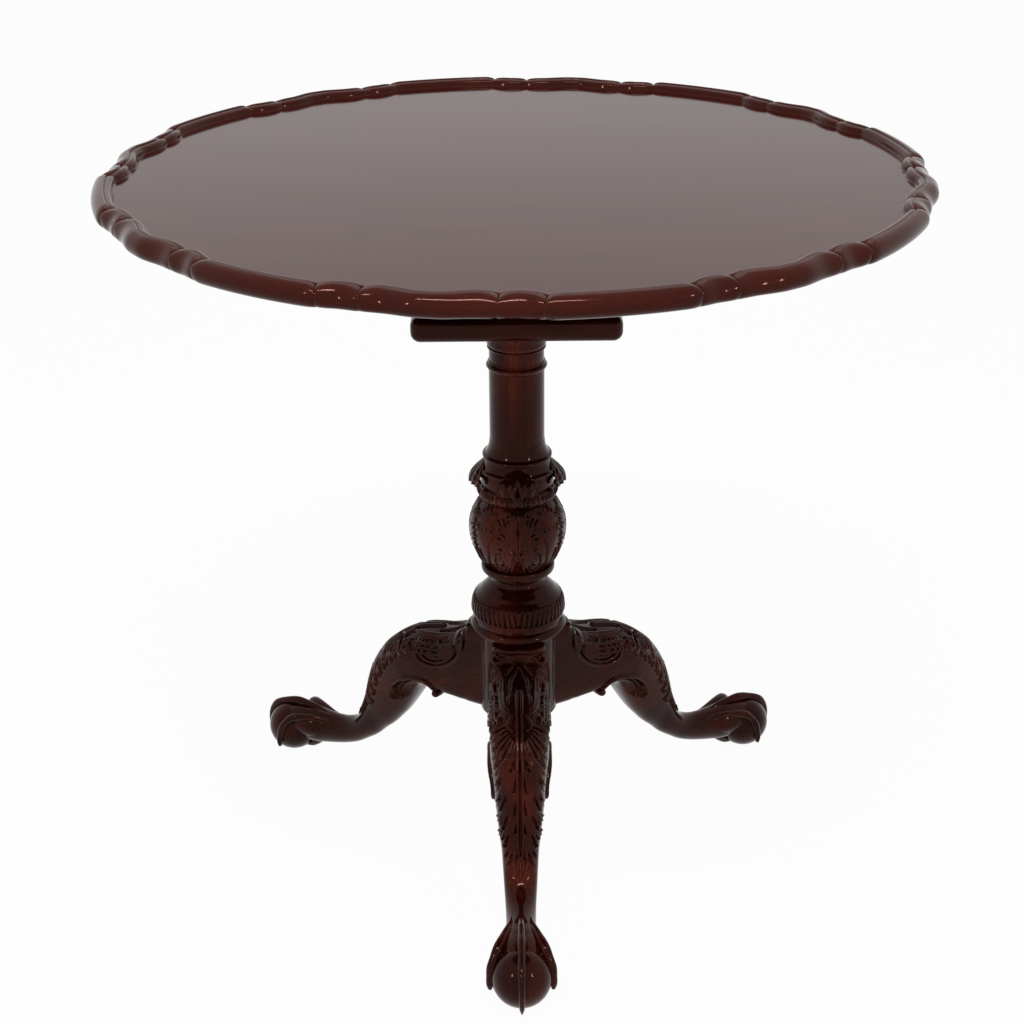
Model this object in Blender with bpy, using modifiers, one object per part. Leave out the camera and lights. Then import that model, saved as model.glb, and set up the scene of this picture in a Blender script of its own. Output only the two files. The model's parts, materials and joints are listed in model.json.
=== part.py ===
"""Piecrust tilt-top tea table on a birdcage, with three ball-and-claw legs.

Metres, +Z up. The origin is on the floor, under the axis of the pillar.
The front leg points to -Y, and the top tilts up from the front on pintles at the back.
"""
import math

import bmesh
import bpy
from mathutils import Matrix, Vector

# Fits
FIT = 0.0003                # gap between pieces that touch
SLIDE_GAP = 0.0008          # gap beside pieces that move past each other

# Top board
TOP_RADIUS = 0.385          # to the long arcs of the rim
TOP_THICKNESS = 0.021       # rim crest to underside
DISH_DEPTH = 0.009          # rim crest to field
RIM_REPEATS = 8             # bracket groups round the rim
RIM_TURN = math.radians(-10.4)      # first group, from the front towards the left
CUSP_ANGLE = math.radians(8.1)      # group centre to the cusp beside it
CORNER_ANGLE = math.radians(13.2)   # group centre to the end of the long arc
BULGE_DROP = 0.0018         # how far each part of the group lies inside the long arcs
DIP_DROP = 0.0085
CUSP_DROP = 0.0042
LOBE_SCOOP = 0.0058
DIP_SHARE = 0.74            # place of the dip between the group's centre and its cusp
ROLL_WIDTH = 0.0090         # outer roll of the rim section
GROOVE_DEPTH = 0.0040
BEAD_WIDTH = 0.0095
COVE_WIDTH = 0.0030

# Legs and feet
LEG_COUNT = 3
FOOT_REACH = 0.300          # pillar axis to the centre of each ball
HUB_BOTTOM = 0.1455         # floor to the underside of the hub
LEG_HALF_WIDTH = 0.0290     # at the hub
SHOULDER_REACH = 0.0535     # how far the upright shoulder stands out from the axis
SHOULDER_RISE = 0.0220      # shoulder top above the hub
SHOULDER_ROUND = 0.0150
LEG_CROWN = 2.2             # roundness of the leg's upper half, where 2 is an ellipse
BALL_RADIUS = 0.0285
BALL_FLAT = 0.0010          # worn off the bottom of the ball
TOE_RADIUS = 0.0052
TOE_TAPER = 0.55            # share of a toe's thickness lost at its tip
KNUCKLE = 0.35              # swell of the knuckles
SIDE_TOE_ANGLE = math.radians(78)
FRONT_TOE_REACH = (100, -35)        # start and end of each toe, degrees above the ball's equator
SIDE_TOE_REACH = (62, -28)
REAR_TOE_REACH = (40, -38)
ANKLE_REACH = 0.77          # root of the toes, as shares of the leg's reach and the hub's height
ANKLE_RISE = 0.35

# Dovetails that hold the legs in the hub
TENON_DEPTH = 0.0130
TENON_NECK = 0.0170         # width at the hub's surface
TENON_TAIL = 0.0230         # width at its inner end
TENON_HEIGHT = 0.0720

# Pillar
HUB_RADIUS = 0.0400
HUB_HEIGHT = 0.0900
STEM_RADIUS = 0.0195        # through the lower plate, the collar and the key
PIN_RADIUS = 0.0150         # in the upper plate
STEM_RISE = 0.0380          # stem above the lower plate
TURN_STEPS = 24
COLONNETTE_STEPS = 10

# Mouldings of the pillar above the hub, from the bottom up:
# height, lower radius, upper radius, swell at mid height, points
MOULDINGS = (
    (0.0120, 0.0440, 0.0440, 0.0050, 4),        # base torus
    (0.0130, 0.0465, 0.0465, 0.0000, 1),        # plain band
    (0.0200, 0.0478, 0.0438, 0.0018, 3),        # leaf-cut ovolo
    (0.0145, 0.0438, 0.0300, 0.0030, 4),        # bell
    (0.0120, 0.0300, 0.0372, 0.0012, 2),        # cup under the ball
    (0.0080, 0.0372, 0.0362, 0.0012, 2),        # lip of the cup
    (0.0740, 0.0362, 0.0371, 0.0110, 7),        # carved ball
    (0.0100, 0.0371, 0.0380, 0.0018, 3),        # waist bead
    (0.0030, 0.0380, 0.0476, 0.0000, 1),        # underside of the hanging leaves
    (0.0334, 0.0476, 0.0303, 0.0036, 4),        # hanging leaves
    (0.0126, 0.0303, 0.0271, -0.0008, 2),       # flare into the shaft
    (0.0725, 0.0271, 0.0266, 0.0000, 1),        # shaft
    (0.0090, 0.0266, 0.0266, 0.0026, 4),        # astragal
    (0.0155, 0.0266, 0.0268, 0.0000, 1),        # neck
    (0.0050, 0.0278, 0.0290, 0.0000, 1),        # capital fillet
    (0.0240, 0.0290, 0.0370, -0.0020, 3),       # capital cove
    (0.0087, 0.0385, 0.0385, 0.0000, 1),        # capital top
)

# Birdcage
PLATE_SIDE = 0.1940
PLATE_THICKNESS = 0.0240
PLATE_ROUND = 0.0060        # rounding of the lower plate's edges
COLONNETTE_HEIGHT = 0.0734  # between the plates
COLONNETTE_INSET = 0.0260   # plate edge to the colonnette's axis
COLONNETTE_BELLY = 0.0130
COLONNETTE_SHAPE = (        # radius as a share of the belly, height as a share of the length
    (0.95, 1.00), (0.95, 0.96), (0.62, 0.88), (0.60, 0.74), (0.85, 0.52), (1.00, 0.36),
    (0.90, 0.22), (0.62, 0.14), (0.95, 0.10), (0.95, 0.00),
)
TENON_PIN_RADIUS = 0.0075
TENON_PIN_LENGTH = 0.0180
COLLAR_RADIUS = 0.0340
COLLAR_HEIGHT = 0.0120
KEY_LENGTH = 0.1000
KEY_WIDTH = 0.0080
KEY_THICK = 0.0160          # height of the key at its thick end
KEY_THIN = 0.0090
PINTLE_RADIUS = 0.0090
PINTLE_LENGTH = 0.0300

# Bearers
BEARER_LENGTH = 0.5600
BEARER_WIDTH = 0.0360
BEARER_DEPTH = 0.0280
BEARER_TIP = 0.0100         # depth left at the tapered ends
BEARER_TAPER = 0.0900
BEARER_SCREW_SPOTS = (-0.62, -0.12, 0.62)   # shares of the untapered half, clear of the pintle

# Brass bolt
BOLT_RADIUS = 0.0038
BOLT_SIDES = 10
BOLT_LENGTH = 0.0560
BOLT_TRAVEL = 0.0090
BOLT_START = 0.0012         # bolt end to the strike when drawn
BOLT_BITE = 0.0100          # depth of the hole behind the strike
BOLT_PLATE_LENGTH = 0.0520
BOLT_PLATE_WIDTH = 0.0340
BRASS_THICKNESS = 0.0018
GUIDE_WIDTH = 0.0070
GUIDE_WALL = 0.0022
KNOB_RADIUS = 0.0055
KNOB_DROP = 0.0110
STRIKE_WIDTH = 0.0380
STRIKE_HEIGHT = 0.0180
STRIKE_HOLE = 0.0100        # side of the square hole for the bolt

# Iron brace
BRACE_THICKNESS = 0.0025
BRACE_ARM = 0.0400          # past the hub
BRACE_WIDTH = 0.0200

# Screws
SCREW_HEAD_RADIUS = 0.0036
SCREW_SHANK_RADIUS = 0.0019
SCREW_HEAD_HEIGHT = 0.0026
BEARER_SCREW_BITE = 0.0080  # into the top board
SHORT_SCREW = 0.0090
BRACE_SCREW = 0.0200
SCREW_STEPS = 6
SCREW_EDGE = 1.6            # head radii from a screw's axis to the edge of its plate

# Worked-out heights and places
HUB_TOP = HUB_BOTTOM + HUB_HEIGHT
PILLAR_TOP = HUB_TOP + sum(row[0] for row in MOULDINGS)
LOWER_PLATE_Z = PILLAR_TOP + FIT
LOWER_PLATE_TOP = LOWER_PLATE_Z + PLATE_THICKNESS
UPPER_PLATE_Z = LOWER_PLATE_TOP + COLONNETTE_HEIGHT
UPPER_PLATE_TOP = UPPER_PLATE_Z + PLATE_THICKNESS
TOP_Z = UPPER_PLATE_TOP + FIT
HALF_PLATE = PLATE_SIDE / 2
PINTLE_Z = UPPER_PLATE_Z + PLATE_THICKNESS / 2
UPPER_HALF = HALF_PLATE + SLIDE_GAP
PINTLE_Y = UPPER_HALF - PLATE_THICKNESS / 2
BEARER_X = UPPER_HALF + SLIDE_GAP + BEARER_WIDTH / 2
COLLAR_Z = LOWER_PLATE_TOP + FIT
KEY_Z = COLLAR_Z + COLLAR_HEIGHT + FIT
STRIKE_Y = -UPPER_HALF - FIT
BOLT_TIP_Y = STRIKE_Y - BRASS_THICKNESS - BOLT_START
BOLT_PLATE_Y = BOLT_TIP_Y - BOLT_PLATE_LENGTH / 2
BOLT_PLATE_Z = TOP_Z - FIT - BRASS_THICKNESS
BRACE_REACH = HUB_RADIUS + BRACE_ARM
FRONT = -math.pi / 2

MAHOGANY = ((0.085, 0.026, 0.016), 0.22, 0.0)
OAK = ((0.190, 0.110, 0.060), 0.60, 0.0)
BRASS = ((0.620, 0.430, 0.170), 0.32, 1.0)
IRON = ((0.060, 0.055, 0.050), 0.62, 1.0)
STEEL = ((0.360, 0.350, 0.340), 0.42, 1.0)


def clear_scene():
    for obj in list(bpy.data.objects):
        bpy.data.objects.remove(obj)


def new_collection(name):
    collection = bpy.data.collections.new(name)
    bpy.context.scene.collection.children.link(collection)
    return collection


clear_scene()
PARTS = new_collection("piecrust_table")
CUTTERS = new_collection("cutters")


def finish_of(name, look):
    """A material for one piece: base colour, roughness and metallic value."""
    colour, roughness, metallic = look
    material = bpy.data.materials.new(name)
    material.use_nodes = True
    shader = material.node_tree.nodes["Principled BSDF"]
    shader.inputs["Base Color"].default_value = (*colour, 1.0)
    shader.inputs["Roughness"].default_value = roughness
    shader.inputs["Metallic"].default_value = metallic
    return material


def add_part(name, mesh, look, smooth_angle=math.radians(35)):
    obj = bpy.data.objects.new(name, mesh)
    PARTS.objects.link(obj)
    mesh.materials.clear()
    mesh.materials.append(finish_of(name, look))
    if mesh.polygons:
        mesh.shade_smooth()
        mesh.set_sharp_from_angle(angle=smooth_angle)
    return obj


def add_cutter(name, mesh):
    obj = bpy.data.objects.new(name, mesh)
    CUTTERS.objects.link(obj)
    obj.hide_render = True
    obj.display_type = "WIRE"
    return obj


def boolean(obj, tool, operation):
    modifier = obj.modifiers.new(tool.name, "BOOLEAN")
    modifier.operation = operation
    modifier.solver = "EXACT"
    modifier.use_self = operation == "UNION"
    modifier.object = tool


def cut(obj, *tools):
    for tool in tools:
        boolean(obj, tool, "DIFFERENCE")


def join(obj, *tools):
    for tool in tools:
        boolean(obj, tool, "UNION")


def baked(obj):
    """The mesh of an object with its modifiers applied, and the object removed."""
    bpy.context.view_layer.update()
    graph = bpy.context.evaluated_depsgraph_get()
    mesh = bpy.data.meshes.new_from_object(obj.evaluated_get(graph))
    mesh.transform(obj.matrix_world)
    bpy.data.objects.remove(obj)
    weld = bmesh.new()
    weld.from_mesh(mesh)
    bmesh.ops.remove_doubles(weld, verts=weld.verts, dist=1e-6)
    bmesh.ops.recalc_face_normals(weld, faces=weld.faces)
    weld.to_mesh(mesh)
    weld.free()
    return mesh


def mesh_of(name, shape):
    mesh = bpy.data.meshes.new(name)
    shape.to_mesh(mesh)
    shape.free()
    return mesh


def box_mesh(name, size, centre, bevel=0.0, segments=2):
    shape = bmesh.new()
    bmesh.ops.create_cube(shape, size=1.0)
    bmesh.ops.scale(shape, vec=size, verts=shape.verts)
    if bevel:
        bmesh.ops.bevel(shape, geom=shape.edges[:], offset=bevel, segments=segments,
                        profile=0.5, affect="EDGES", clamp_overlap=True)
    bmesh.ops.translate(shape, vec=centre, verts=shape.verts)
    return mesh_of(name, shape)


def rod_mesh(name, radius, length, centre, axis, segments=16):
    """A plain cylinder along an axis, about its centre."""
    shape = bmesh.new()
    bmesh.ops.create_cone(shape, cap_ends=True, segments=segments, radius1=radius,
                          radius2=radius, depth=length)
    turn = Vector((0, 0, 1)).rotation_difference(Vector(axis)).to_matrix().to_4x4()
    bmesh.ops.transform(shape, matrix=Matrix.Translation(centre) @ turn, verts=shape.verts)
    return mesh_of(name, shape)


def loft_mesh(name, rings):
    """Closed skin over rings of equal length, with a flat cap at each end."""
    shape = bmesh.new()
    rows = [[shape.verts.new(point) for point in ring] for ring in rings]
    count = len(rows[0])
    for lower, upper in zip(rows, rows[1:]):
        for i in range(count):
            j = (i + 1) % count
            shape.faces.new((lower[i], lower[j], upper[j], upper[i]))
    shape.faces.new(rows[0])
    shape.faces.new(rows[-1])
    bmesh.ops.recalc_face_normals(shape, faces=shape.faces)
    return mesh_of(name, shape)


def turned_mesh(name, profile, steps=TURN_STEPS, ring=False):
    """A profile of (radius, height), top to bottom, turned about Z."""
    mesh = bpy.data.meshes.new(name)
    edges = [(i, i + 1) for i in range(len(profile) - 1)]
    if ring:
        edges.append((len(profile) - 1, 0))
    mesh.from_pydata([(radius, 0, height) for radius, height in profile], edges, [])
    obj = bpy.data.objects.new(name, mesh)
    CUTTERS.objects.link(obj)
    screw = obj.modifiers.new("turn", "SCREW")
    screw.axis = "Z"
    screw.steps = steps
    screw.render_steps = steps
    screw.use_merge_vertices = True
    screw.merge_threshold = 0.00001
    return baked(obj)


def peg_mesh(radius, half_length, steps):
    """A turned peg along Z, about its centre."""
    return turned_mesh("peg", [(0, half_length), (radius, half_length), (radius, -half_length),
                               (0, -half_length)], steps)


def outline_mesh(name, points, thickness):
    """A flat outline in the XY plane, extruded evenly to both sides of Z = 0."""
    curve = bpy.data.curves.new(name, "CURVE")
    curve.dimensions = "2D"
    curve.fill_mode = "BOTH"
    curve.extrude = thickness / 2
    spline = curve.splines.new("POLY")
    spline.points.add(len(points) - 1)
    for slot, (x, y) in zip(spline.points, points):
        slot.co = (x, y, 0, 1)
    spline.use_cyclic_u = True
    obj = bpy.data.objects.new(name, curve)
    CUTTERS.objects.link(obj)
    return baked(obj)


def arc(centre, radii, start, end, steps):
    """Points on an ellipse from one angle in degrees to another."""
    points = []
    for i in range(steps + 1):
        angle = math.radians(start + (end - start) * i / steps)
        points.append((centre[0] + radii[0] * math.cos(angle),
                       centre[1] + radii[1] * math.sin(angle)))
    return points


def spline_rows(rows, substeps):
    """Rows of numbers joined by a smooth Catmull-Rom curve."""
    smooth = []
    for i in range(len(rows) - 1):
        before = rows[max(i - 1, 0)]
        after = rows[min(i + 2, len(rows) - 1)]
        for step in range(substeps):
            t = step / substeps
            row = []
            for p0, p1, p2, p3 in zip(before, rows[i], rows[i + 1], after):
                row.append(p1 + 0.5 * t * (p2 - p0
                                           + t * (2 * p0 - 5 * p1 + 4 * p2 - p3
                                                  + t * (3 * (p1 - p2) + p3 - p0))))
            smooth.append(row)
    smooth.append(list(rows[-1]))
    return smooth


# Top board with its piecrust rim

def rim_radius(phase):
    """Outline radius at an angle from the centre of a bracket group."""
    if phase >= CORNER_ANGLE:
        return TOP_RADIUS
    if phase >= CUSP_ANGLE:
        share = (phase - CUSP_ANGLE) / (CORNER_ANGLE - CUSP_ANGLE)
        return TOP_RADIUS - CUSP_DROP * (1 - share) - LOBE_SCOOP * math.sin(math.pi * share)
    share = phase / CUSP_ANGLE
    if share < DIP_SHARE:
        fall = (1 - math.cos(math.pi * share / DIP_SHARE)) / 2
        return TOP_RADIUS - BULGE_DROP - (DIP_DROP - BULGE_DROP) * fall
    rise = ((share - DIP_SHARE) / (1 - DIP_SHARE)) ** 2
    return TOP_RADIUS - DIP_DROP + (DIP_DROP - CUSP_DROP) * rise


def rim_outline():
    """(angle, radius) all round the rim, with points on every cusp and corner."""
    half_repeat = math.pi / RIM_REPEATS
    stretches = ((0.0, CUSP_ANGLE, 4), (CUSP_ANGLE, CORNER_ANGLE, 3), (CORNER_ANGLE, half_repeat, 2))
    phases = []
    for start, end, steps in stretches:
        phases += [start + (end - start) * i / steps for i in range(steps)]
    phases.append(half_repeat)
    mirrored = [-phase for phase in reversed(phases[1:-1])]
    outline = []
    for repeat in range(RIM_REPEATS):
        centre = FRONT + RIM_TURN + 2 * half_repeat * repeat
        for phase in mirrored + phases:
            outline.append((centre + phase, rim_radius(abs(phase))))
    return outline


def rim_section():
    """(inset from the outline, height above the underside), underside to field."""
    half = TOP_THICKNESS / 2
    roll = [(ROLL_WIDTH - x, half + y) for x, y in arc((0, 0), (ROLL_WIDTH, half), -80, 90, 5)]
    bead_inset = ROLL_WIDTH + BEAD_WIDTH
    bead_height = TOP_THICKNESS - GROOVE_DEPTH
    field = TOP_THICKNESS - DISH_DEPTH
    return roll + [
        (ROLL_WIDTH + 0.35 * BEAD_WIDTH, bead_height),
        (bead_inset, bead_height + 0.15 * GROOVE_DEPTH),
        (bead_inset + 0.45 * COVE_WIDTH, field + 0.30 * (bead_height - field)),
        (bead_inset + COVE_WIDTH, field),
    ]


def make_top_board():
    outline = rim_outline()
    rings = []
    for inset, height in rim_section():
        rings.append([((radius - inset) * math.cos(angle), (radius - inset) * math.sin(angle),
                       TOP_Z + height) for angle, radius in outline])
    return add_part("top_board", loft_mesh("top_board", rings), MAHOGANY)


# Legs with ball-and-claw feet

# Cabriole curve, from the hub to the foot. Reach is a share of the way from the hub's
# surface to the ball's centre, rise a share of the hub's height above the floor:
# top reach, top rise, bottom reach, bottom rise, share of the half width, squareness of the underside.
# The last five rows follow the ankle, and the leg ends inside the ball
INSTEP = ((ANKLE_REACH + 1.090) / 2, (ANKLE_RISE + 0.450) / 2, (ANKLE_RISE + 0.070) / 2)
LEG_CURVE = (
    (-0.040, 1.505, -0.040, 1.000, 1.000, 4.6),
    (0.120, 1.505, 0.120, 1.000, 1.000, 4.6),
    (0.227, 1.474, 0.210, 1.003, 1.017, 4.0),
    (0.338, 1.409, 0.269, 0.993, 1.021, 3.4),
    (0.423, 1.306, 0.304, 0.890, 0.990, 3.1),
    (0.473, 1.223, 0.331, 0.801, 0.931, 2.9),
    (0.527, 1.086, 0.373, 0.677, 0.845, 2.7),
    (0.573, 0.866, 0.446, 0.519, 0.717, 2.5),
    (0.610, 0.625, 0.538, 0.378, 0.579, 2.3),
    (0.633, 0.522, 0.588, 0.320, 0.541, 2.2),
    (ANKLE_REACH - 0.062, ANKLE_RISE + 0.066, ANKLE_REACH - 0.074, ANKLE_RISE - 0.120, 0.490, 2.0),
    (ANKLE_REACH - 0.012, ANKLE_RISE + 0.052, ANKLE_REACH - 0.016, ANKLE_RISE - 0.147, 0.483, 2.0),
    (ANKLE_REACH + 0.080, ANKLE_RISE + 0.065, ANKLE_REACH + 0.080, ANKLE_RISE - 0.178, 0.569, 2.0),
    (INSTEP[0], INSTEP[1], INSTEP[0], INSTEP[2], 0.552, 2.0),
    (1.000, 0.372, 1.000, 0.240, 0.400, 2.0),
)
LEG_SIDES = 10
TOE_SIDES = 6
BALL_RINGS = 9


def squared(value, squareness):
    return math.copysign(abs(value) ** (2 / squareness), value)


def leg_ring(row):
    """One cross-section of the leg, in the plane of its curve (X outwards, Z up)."""
    top_reach, top_rise, low_reach, low_rise, width_share, squareness = row
    span = FOOT_REACH - HUB_RADIUS
    top = Vector((HUB_RADIUS + span * top_reach, 0, HUB_BOTTOM * top_rise))
    low = Vector((HUB_RADIUS + span * low_reach, 0, HUB_BOTTOM * low_rise))
    middle = (top + low) / 2
    up = (top - low) / 2
    width = width_share * LEG_HALF_WIDTH
    ring = []
    for i in range(LEG_SIDES):
        angle = 2 * math.pi * i / LEG_SIDES
        power = min(squareness, LEG_CROWN) if math.cos(angle) > 0 else squareness
        rise = squared(math.cos(angle), power)
        side = squared(math.sin(angle), power)
        ring.append(middle + up * rise + Vector((0, width * side, 0)))
    return ring


def shoulder_mesh():
    """The upright shoulder beside the pillar, rounded at its outer top edge."""
    low = HUB_BOTTOM + SHOULDER_ROUND
    high = HUB_TOP + SHOULDER_RISE
    inner = HUB_RADIUS / 2
    corner = (SHOULDER_REACH - SHOULDER_ROUND, high - SHOULDER_ROUND)
    outline = [(inner, low), (SHOULDER_REACH, low)]
    outline += arc(corner, (SHOULDER_ROUND, SHOULDER_ROUND), 0, 90, 5)
    outline.append((inner, high))
    mesh = outline_mesh("shoulder", outline, 2 * (LEG_HALF_WIDTH - FIT))
    mesh.transform(Matrix.Rotation(math.pi / 2, 4, "X"))
    return mesh


def ball_mesh():
    """The ball under the claw, cut flat where it stands on the floor."""
    shape = bmesh.new()
    bmesh.ops.create_uvsphere(shape, u_segments=12, v_segments=BALL_RINGS, radius=BALL_RADIUS)
    centre_z = BALL_RADIUS - BALL_FLAT
    bmesh.ops.translate(shape, vec=(FOOT_REACH, 0, centre_z), verts=shape.verts)
    flat_ring = BALL_RADIUS * (1 - math.cos(math.pi / BALL_RINGS)) + BALL_FLAT
    for vert in shape.verts:
        if vert.co.z < flat_ring:
            vert.co.z = 0.0
    return mesh_of("ball", shape)


def toe_mesh(azimuth, reach, steps, root=None):
    """A talon over the ball, between two elevations in degrees, thin at its tip."""
    centre = Vector((FOOT_REACH, 0, BALL_RADIUS - BALL_FLAT))
    out = Vector((math.cos(azimuth), math.sin(azimuth), 0))
    side = Vector((-math.sin(azimuth), math.cos(azimuth), 0))
    rings = []
    if root is not None:
        rings.append([root + TOE_RADIUS * (Vector((0, 0, math.cos(a))) + side * math.sin(a))
                      for a in (2 * math.pi * i / TOE_SIDES for i in range(TOE_SIDES))])
    for i in range(steps + 1):
        share = i / steps
        elevation = math.radians(reach[0] + (reach[1] - reach[0]) * share)
        away = out * math.cos(elevation) + Vector((0, 0, math.sin(elevation)))
        knuckle = 1 + KNUCKLE * math.cos(3 * math.pi * share) * (1 - share)
        thick = TOE_RADIUS * (1 - TOE_TAPER * share) * knuckle
        middle = centre + away * (BALL_RADIUS + thick / 3)
        rings.append([middle + thick * (away * math.cos(a) + side * math.sin(a))
                      for a in (2 * math.pi * j / TOE_SIDES for j in range(TOE_SIDES))])
    return loft_mesh("toe", rings)


def dovetail_mesh(name, grow):
    """The dovetail on the leg's end, or its socket when grown."""
    neck = TENON_NECK / 2 + grow
    tail = TENON_TAIL / 2 + grow
    inner = HUB_RADIUS - TENON_DEPTH - grow
    outer = HUB_RADIUS + TENON_DEPTH / 2
    low = HUB_BOTTOM - 10 * grow
    high = HUB_BOTTOM + TENON_HEIGHT + grow
    neck_at_outer = neck + (neck - tail) * (outer - HUB_RADIUS) / TENON_DEPTH
    outline = [(inner, -tail), (outer, -neck_at_outer), (outer, neck_at_outer), (inner, tail)]
    mesh = outline_mesh(name, outline, high - low)
    mesh.transform(Matrix.Translation((0, 0, (high + low) / 2)))
    return mesh


def pillar_clearance_mesh():
    """The pillar's space at the legs: the hub, and the base mouldings above it."""
    reach = FIT + max(max(row[1], row[2]) + max(row[3], 0) for row in MOULDINGS[:3])
    below = HUB_BOTTOM - SHOULDER_RISE
    above = HUB_TOP + 2 * SHOULDER_RISE
    step = HUB_TOP - FIT
    profile = [(0, above), (reach, above), (reach, step), (HUB_RADIUS + FIT, step),
               (HUB_RADIUS + FIT, below), (0, below)]
    return turned_mesh("pillar_clearance", profile)


def leg_mesh():
    """One leg, pointing to +X."""
    body = add_cutter("leg_body", loft_mesh("leg_body", [leg_ring(row) for row in
                                                         spline_rows(LEG_CURVE, 2)]))
    ankle = HUB_RADIUS + ANKLE_REACH * (FOOT_REACH - HUB_RADIUS)
    root = Vector((ankle, 0, HUB_BOTTOM * ANKLE_RISE))
    tools = [
        add_cutter("shoulder", shoulder_mesh()),
        add_cutter("ball", ball_mesh()),
        add_cutter("front_toe", toe_mesh(0, FRONT_TOE_REACH, 6, root)),
        add_cutter("left_toe", toe_mesh(SIDE_TOE_ANGLE, SIDE_TOE_REACH, 4, root)),
        add_cutter("right_toe", toe_mesh(-SIDE_TOE_ANGLE, SIDE_TOE_REACH, 4, root)),
        add_cutter("rear_toe", toe_mesh(math.pi, REAR_TOE_REACH, 3)),
    ]
    join(body, *tools)
    clearance = add_cutter("pillar_clearance", pillar_clearance_mesh())
    cut(body, clearance)
    tenon = add_cutter("leg_tenon", dovetail_mesh("leg_tenon", 0.0))
    join(body, tenon)
    mesh = baked(body)
    for tool in tools + [clearance, tenon]:
        bpy.data.objects.remove(tool)
    return mesh


def leg_angle(index):
    return FRONT - 2 * math.pi * index / LEG_COUNT


def make_legs():
    shape = leg_mesh()
    legs = []
    for index, name in enumerate(("leg_front", "leg_left", "leg_right")):
        leg = add_part(name, shape.copy(), MAHOGANY)
        leg.rotation_euler.z = leg_angle(index)
        legs.append(leg)
    return legs


# Pillar, collar and key

def moulding_profile():
    """(radius, height) down the pillar's mouldings, from the capital to the hub."""
    points = []
    height = HUB_TOP
    for rise, low, high, swell, count in MOULDINGS:
        for i in range(count + 1):
            share = i / count
            radius = low + (high - low) * share + swell * math.sin(math.pi * share)
            points.append((radius, height + rise * share))
        height += rise
    return points[::-1]


def make_pillar():
    stem_top = LOWER_PLATE_TOP + STEM_RISE
    pin_top = UPPER_PLATE_TOP - FIT
    profile = [(0, pin_top), (PIN_RADIUS, pin_top), (PIN_RADIUS, stem_top),
               (STEM_RADIUS, stem_top), (STEM_RADIUS, PILLAR_TOP)]
    profile += moulding_profile()
    profile += [(HUB_RADIUS, HUB_TOP), (HUB_RADIUS, HUB_BOTTOM), (0, HUB_BOTTOM)]
    pillar = add_part("pillar", turned_mesh("pillar", profile), MAHOGANY)
    for index in range(LEG_COUNT):
        socket = add_cutter(f"socket_{index}", dovetail_mesh("socket", FIT))
        socket.rotation_euler.z = leg_angle(index)
        cut(pillar, socket)
    cut(pillar, add_cutter("key_mortise", key_mesh("key_mortise", FIT)))
    return pillar


def key_mesh(name, grow):
    """The wedge key along Y, thick end at +Y, or its mortise when grown."""
    half = KEY_LENGTH / 2
    base = -grow
    outline = [(-half, base), (half, base), (half, KEY_THICK + grow), (-half, KEY_THIN + grow)]
    mesh = outline_mesh(name, outline, KEY_WIDTH + 2 * grow)
    upright = Matrix(((0, 0, 1, 0), (1, 0, 0, 0), (0, 1, 0, KEY_Z), (0, 0, 0, 1)))
    mesh.transform(upright)
    return mesh


def make_key():
    return add_part("wedge_key", key_mesh("wedge_key", 0.0), OAK)


def make_collar():
    bore = STEM_RADIUS + FIT
    top = COLLAR_Z + COLLAR_HEIGHT
    soft = COLLAR_HEIGHT / 6
    profile = [(bore, top), (COLLAR_RADIUS - soft, top), (COLLAR_RADIUS, top - soft),
               (COLLAR_RADIUS, COLLAR_Z + soft), (COLLAR_RADIUS - soft, COLLAR_Z), (bore, COLLAR_Z)]
    return add_part("collar_ring", turned_mesh("collar_ring", profile, ring=True), MAHOGANY)


# Birdcage

def colonnette_places():
    offset = HALF_PLATE - COLONNETTE_INSET
    return (("front_left", -offset, -offset), ("front_right", offset, -offset),
            ("back_left", -offset, offset), ("back_right", offset, offset))


def colonnette_profile():
    """Turned vase column about Z = 0 at its foot, with a tenon pin at each end."""
    low = FIT
    high = COLONNETTE_HEIGHT - FIT
    length = high - low
    pin = TENON_PIN_RADIUS
    profile = [(0, high + TENON_PIN_LENGTH), (pin, high + TENON_PIN_LENGTH), (pin, high)]
    profile += [(COLONNETTE_BELLY * share, low + length * rise) for share, rise in COLONNETTE_SHAPE]
    profile += [(pin, low), (pin, low - TENON_PIN_LENGTH), (0, low - TENON_PIN_LENGTH)]
    return profile


def make_colonnettes():
    columns = []
    for name, x, y in colonnette_places():
        mesh = turned_mesh(name, colonnette_profile(), COLONNETTE_STEPS)
        column = add_part(f"colonnette_{name}", mesh, MAHOGANY)
        column.location = (x, y, LOWER_PLATE_TOP)
        columns.append(column)
    return columns


def pin_holes(z_centre, label):
    """Cutters for the colonnettes' tenon pins in one plate."""
    depth = TENON_PIN_LENGTH + FIT
    holes = []
    for name, x, y in colonnette_places():
        hole = add_cutter(f"{label}_hole_{name}", peg_mesh(TENON_PIN_RADIUS + FIT, depth, COLONNETTE_STEPS))
        hole.location = (x, y, z_centre)
        holes.append(hole)
    return holes


def stem_hole(label, radius, z_centre):
    hole = add_cutter(label, peg_mesh(radius + FIT, PLATE_THICKNESS, TURN_STEPS))
    hole.location.z = z_centre
    return hole


def make_lower_plate():
    size = (PLATE_SIDE, PLATE_SIDE, PLATE_THICKNESS)
    centre = (0, 0, LOWER_PLATE_Z + PLATE_THICKNESS / 2)
    mesh = box_mesh("cage_lower_plate", size, centre, PLATE_ROUND, 3)
    plate = add_part("cage_lower_plate", mesh, MAHOGANY)
    cut(plate, stem_hole("stem_bore", STEM_RADIUS, centre[2]))
    cut(plate, *pin_holes(LOWER_PLATE_TOP, "lower"))
    return plate


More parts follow.
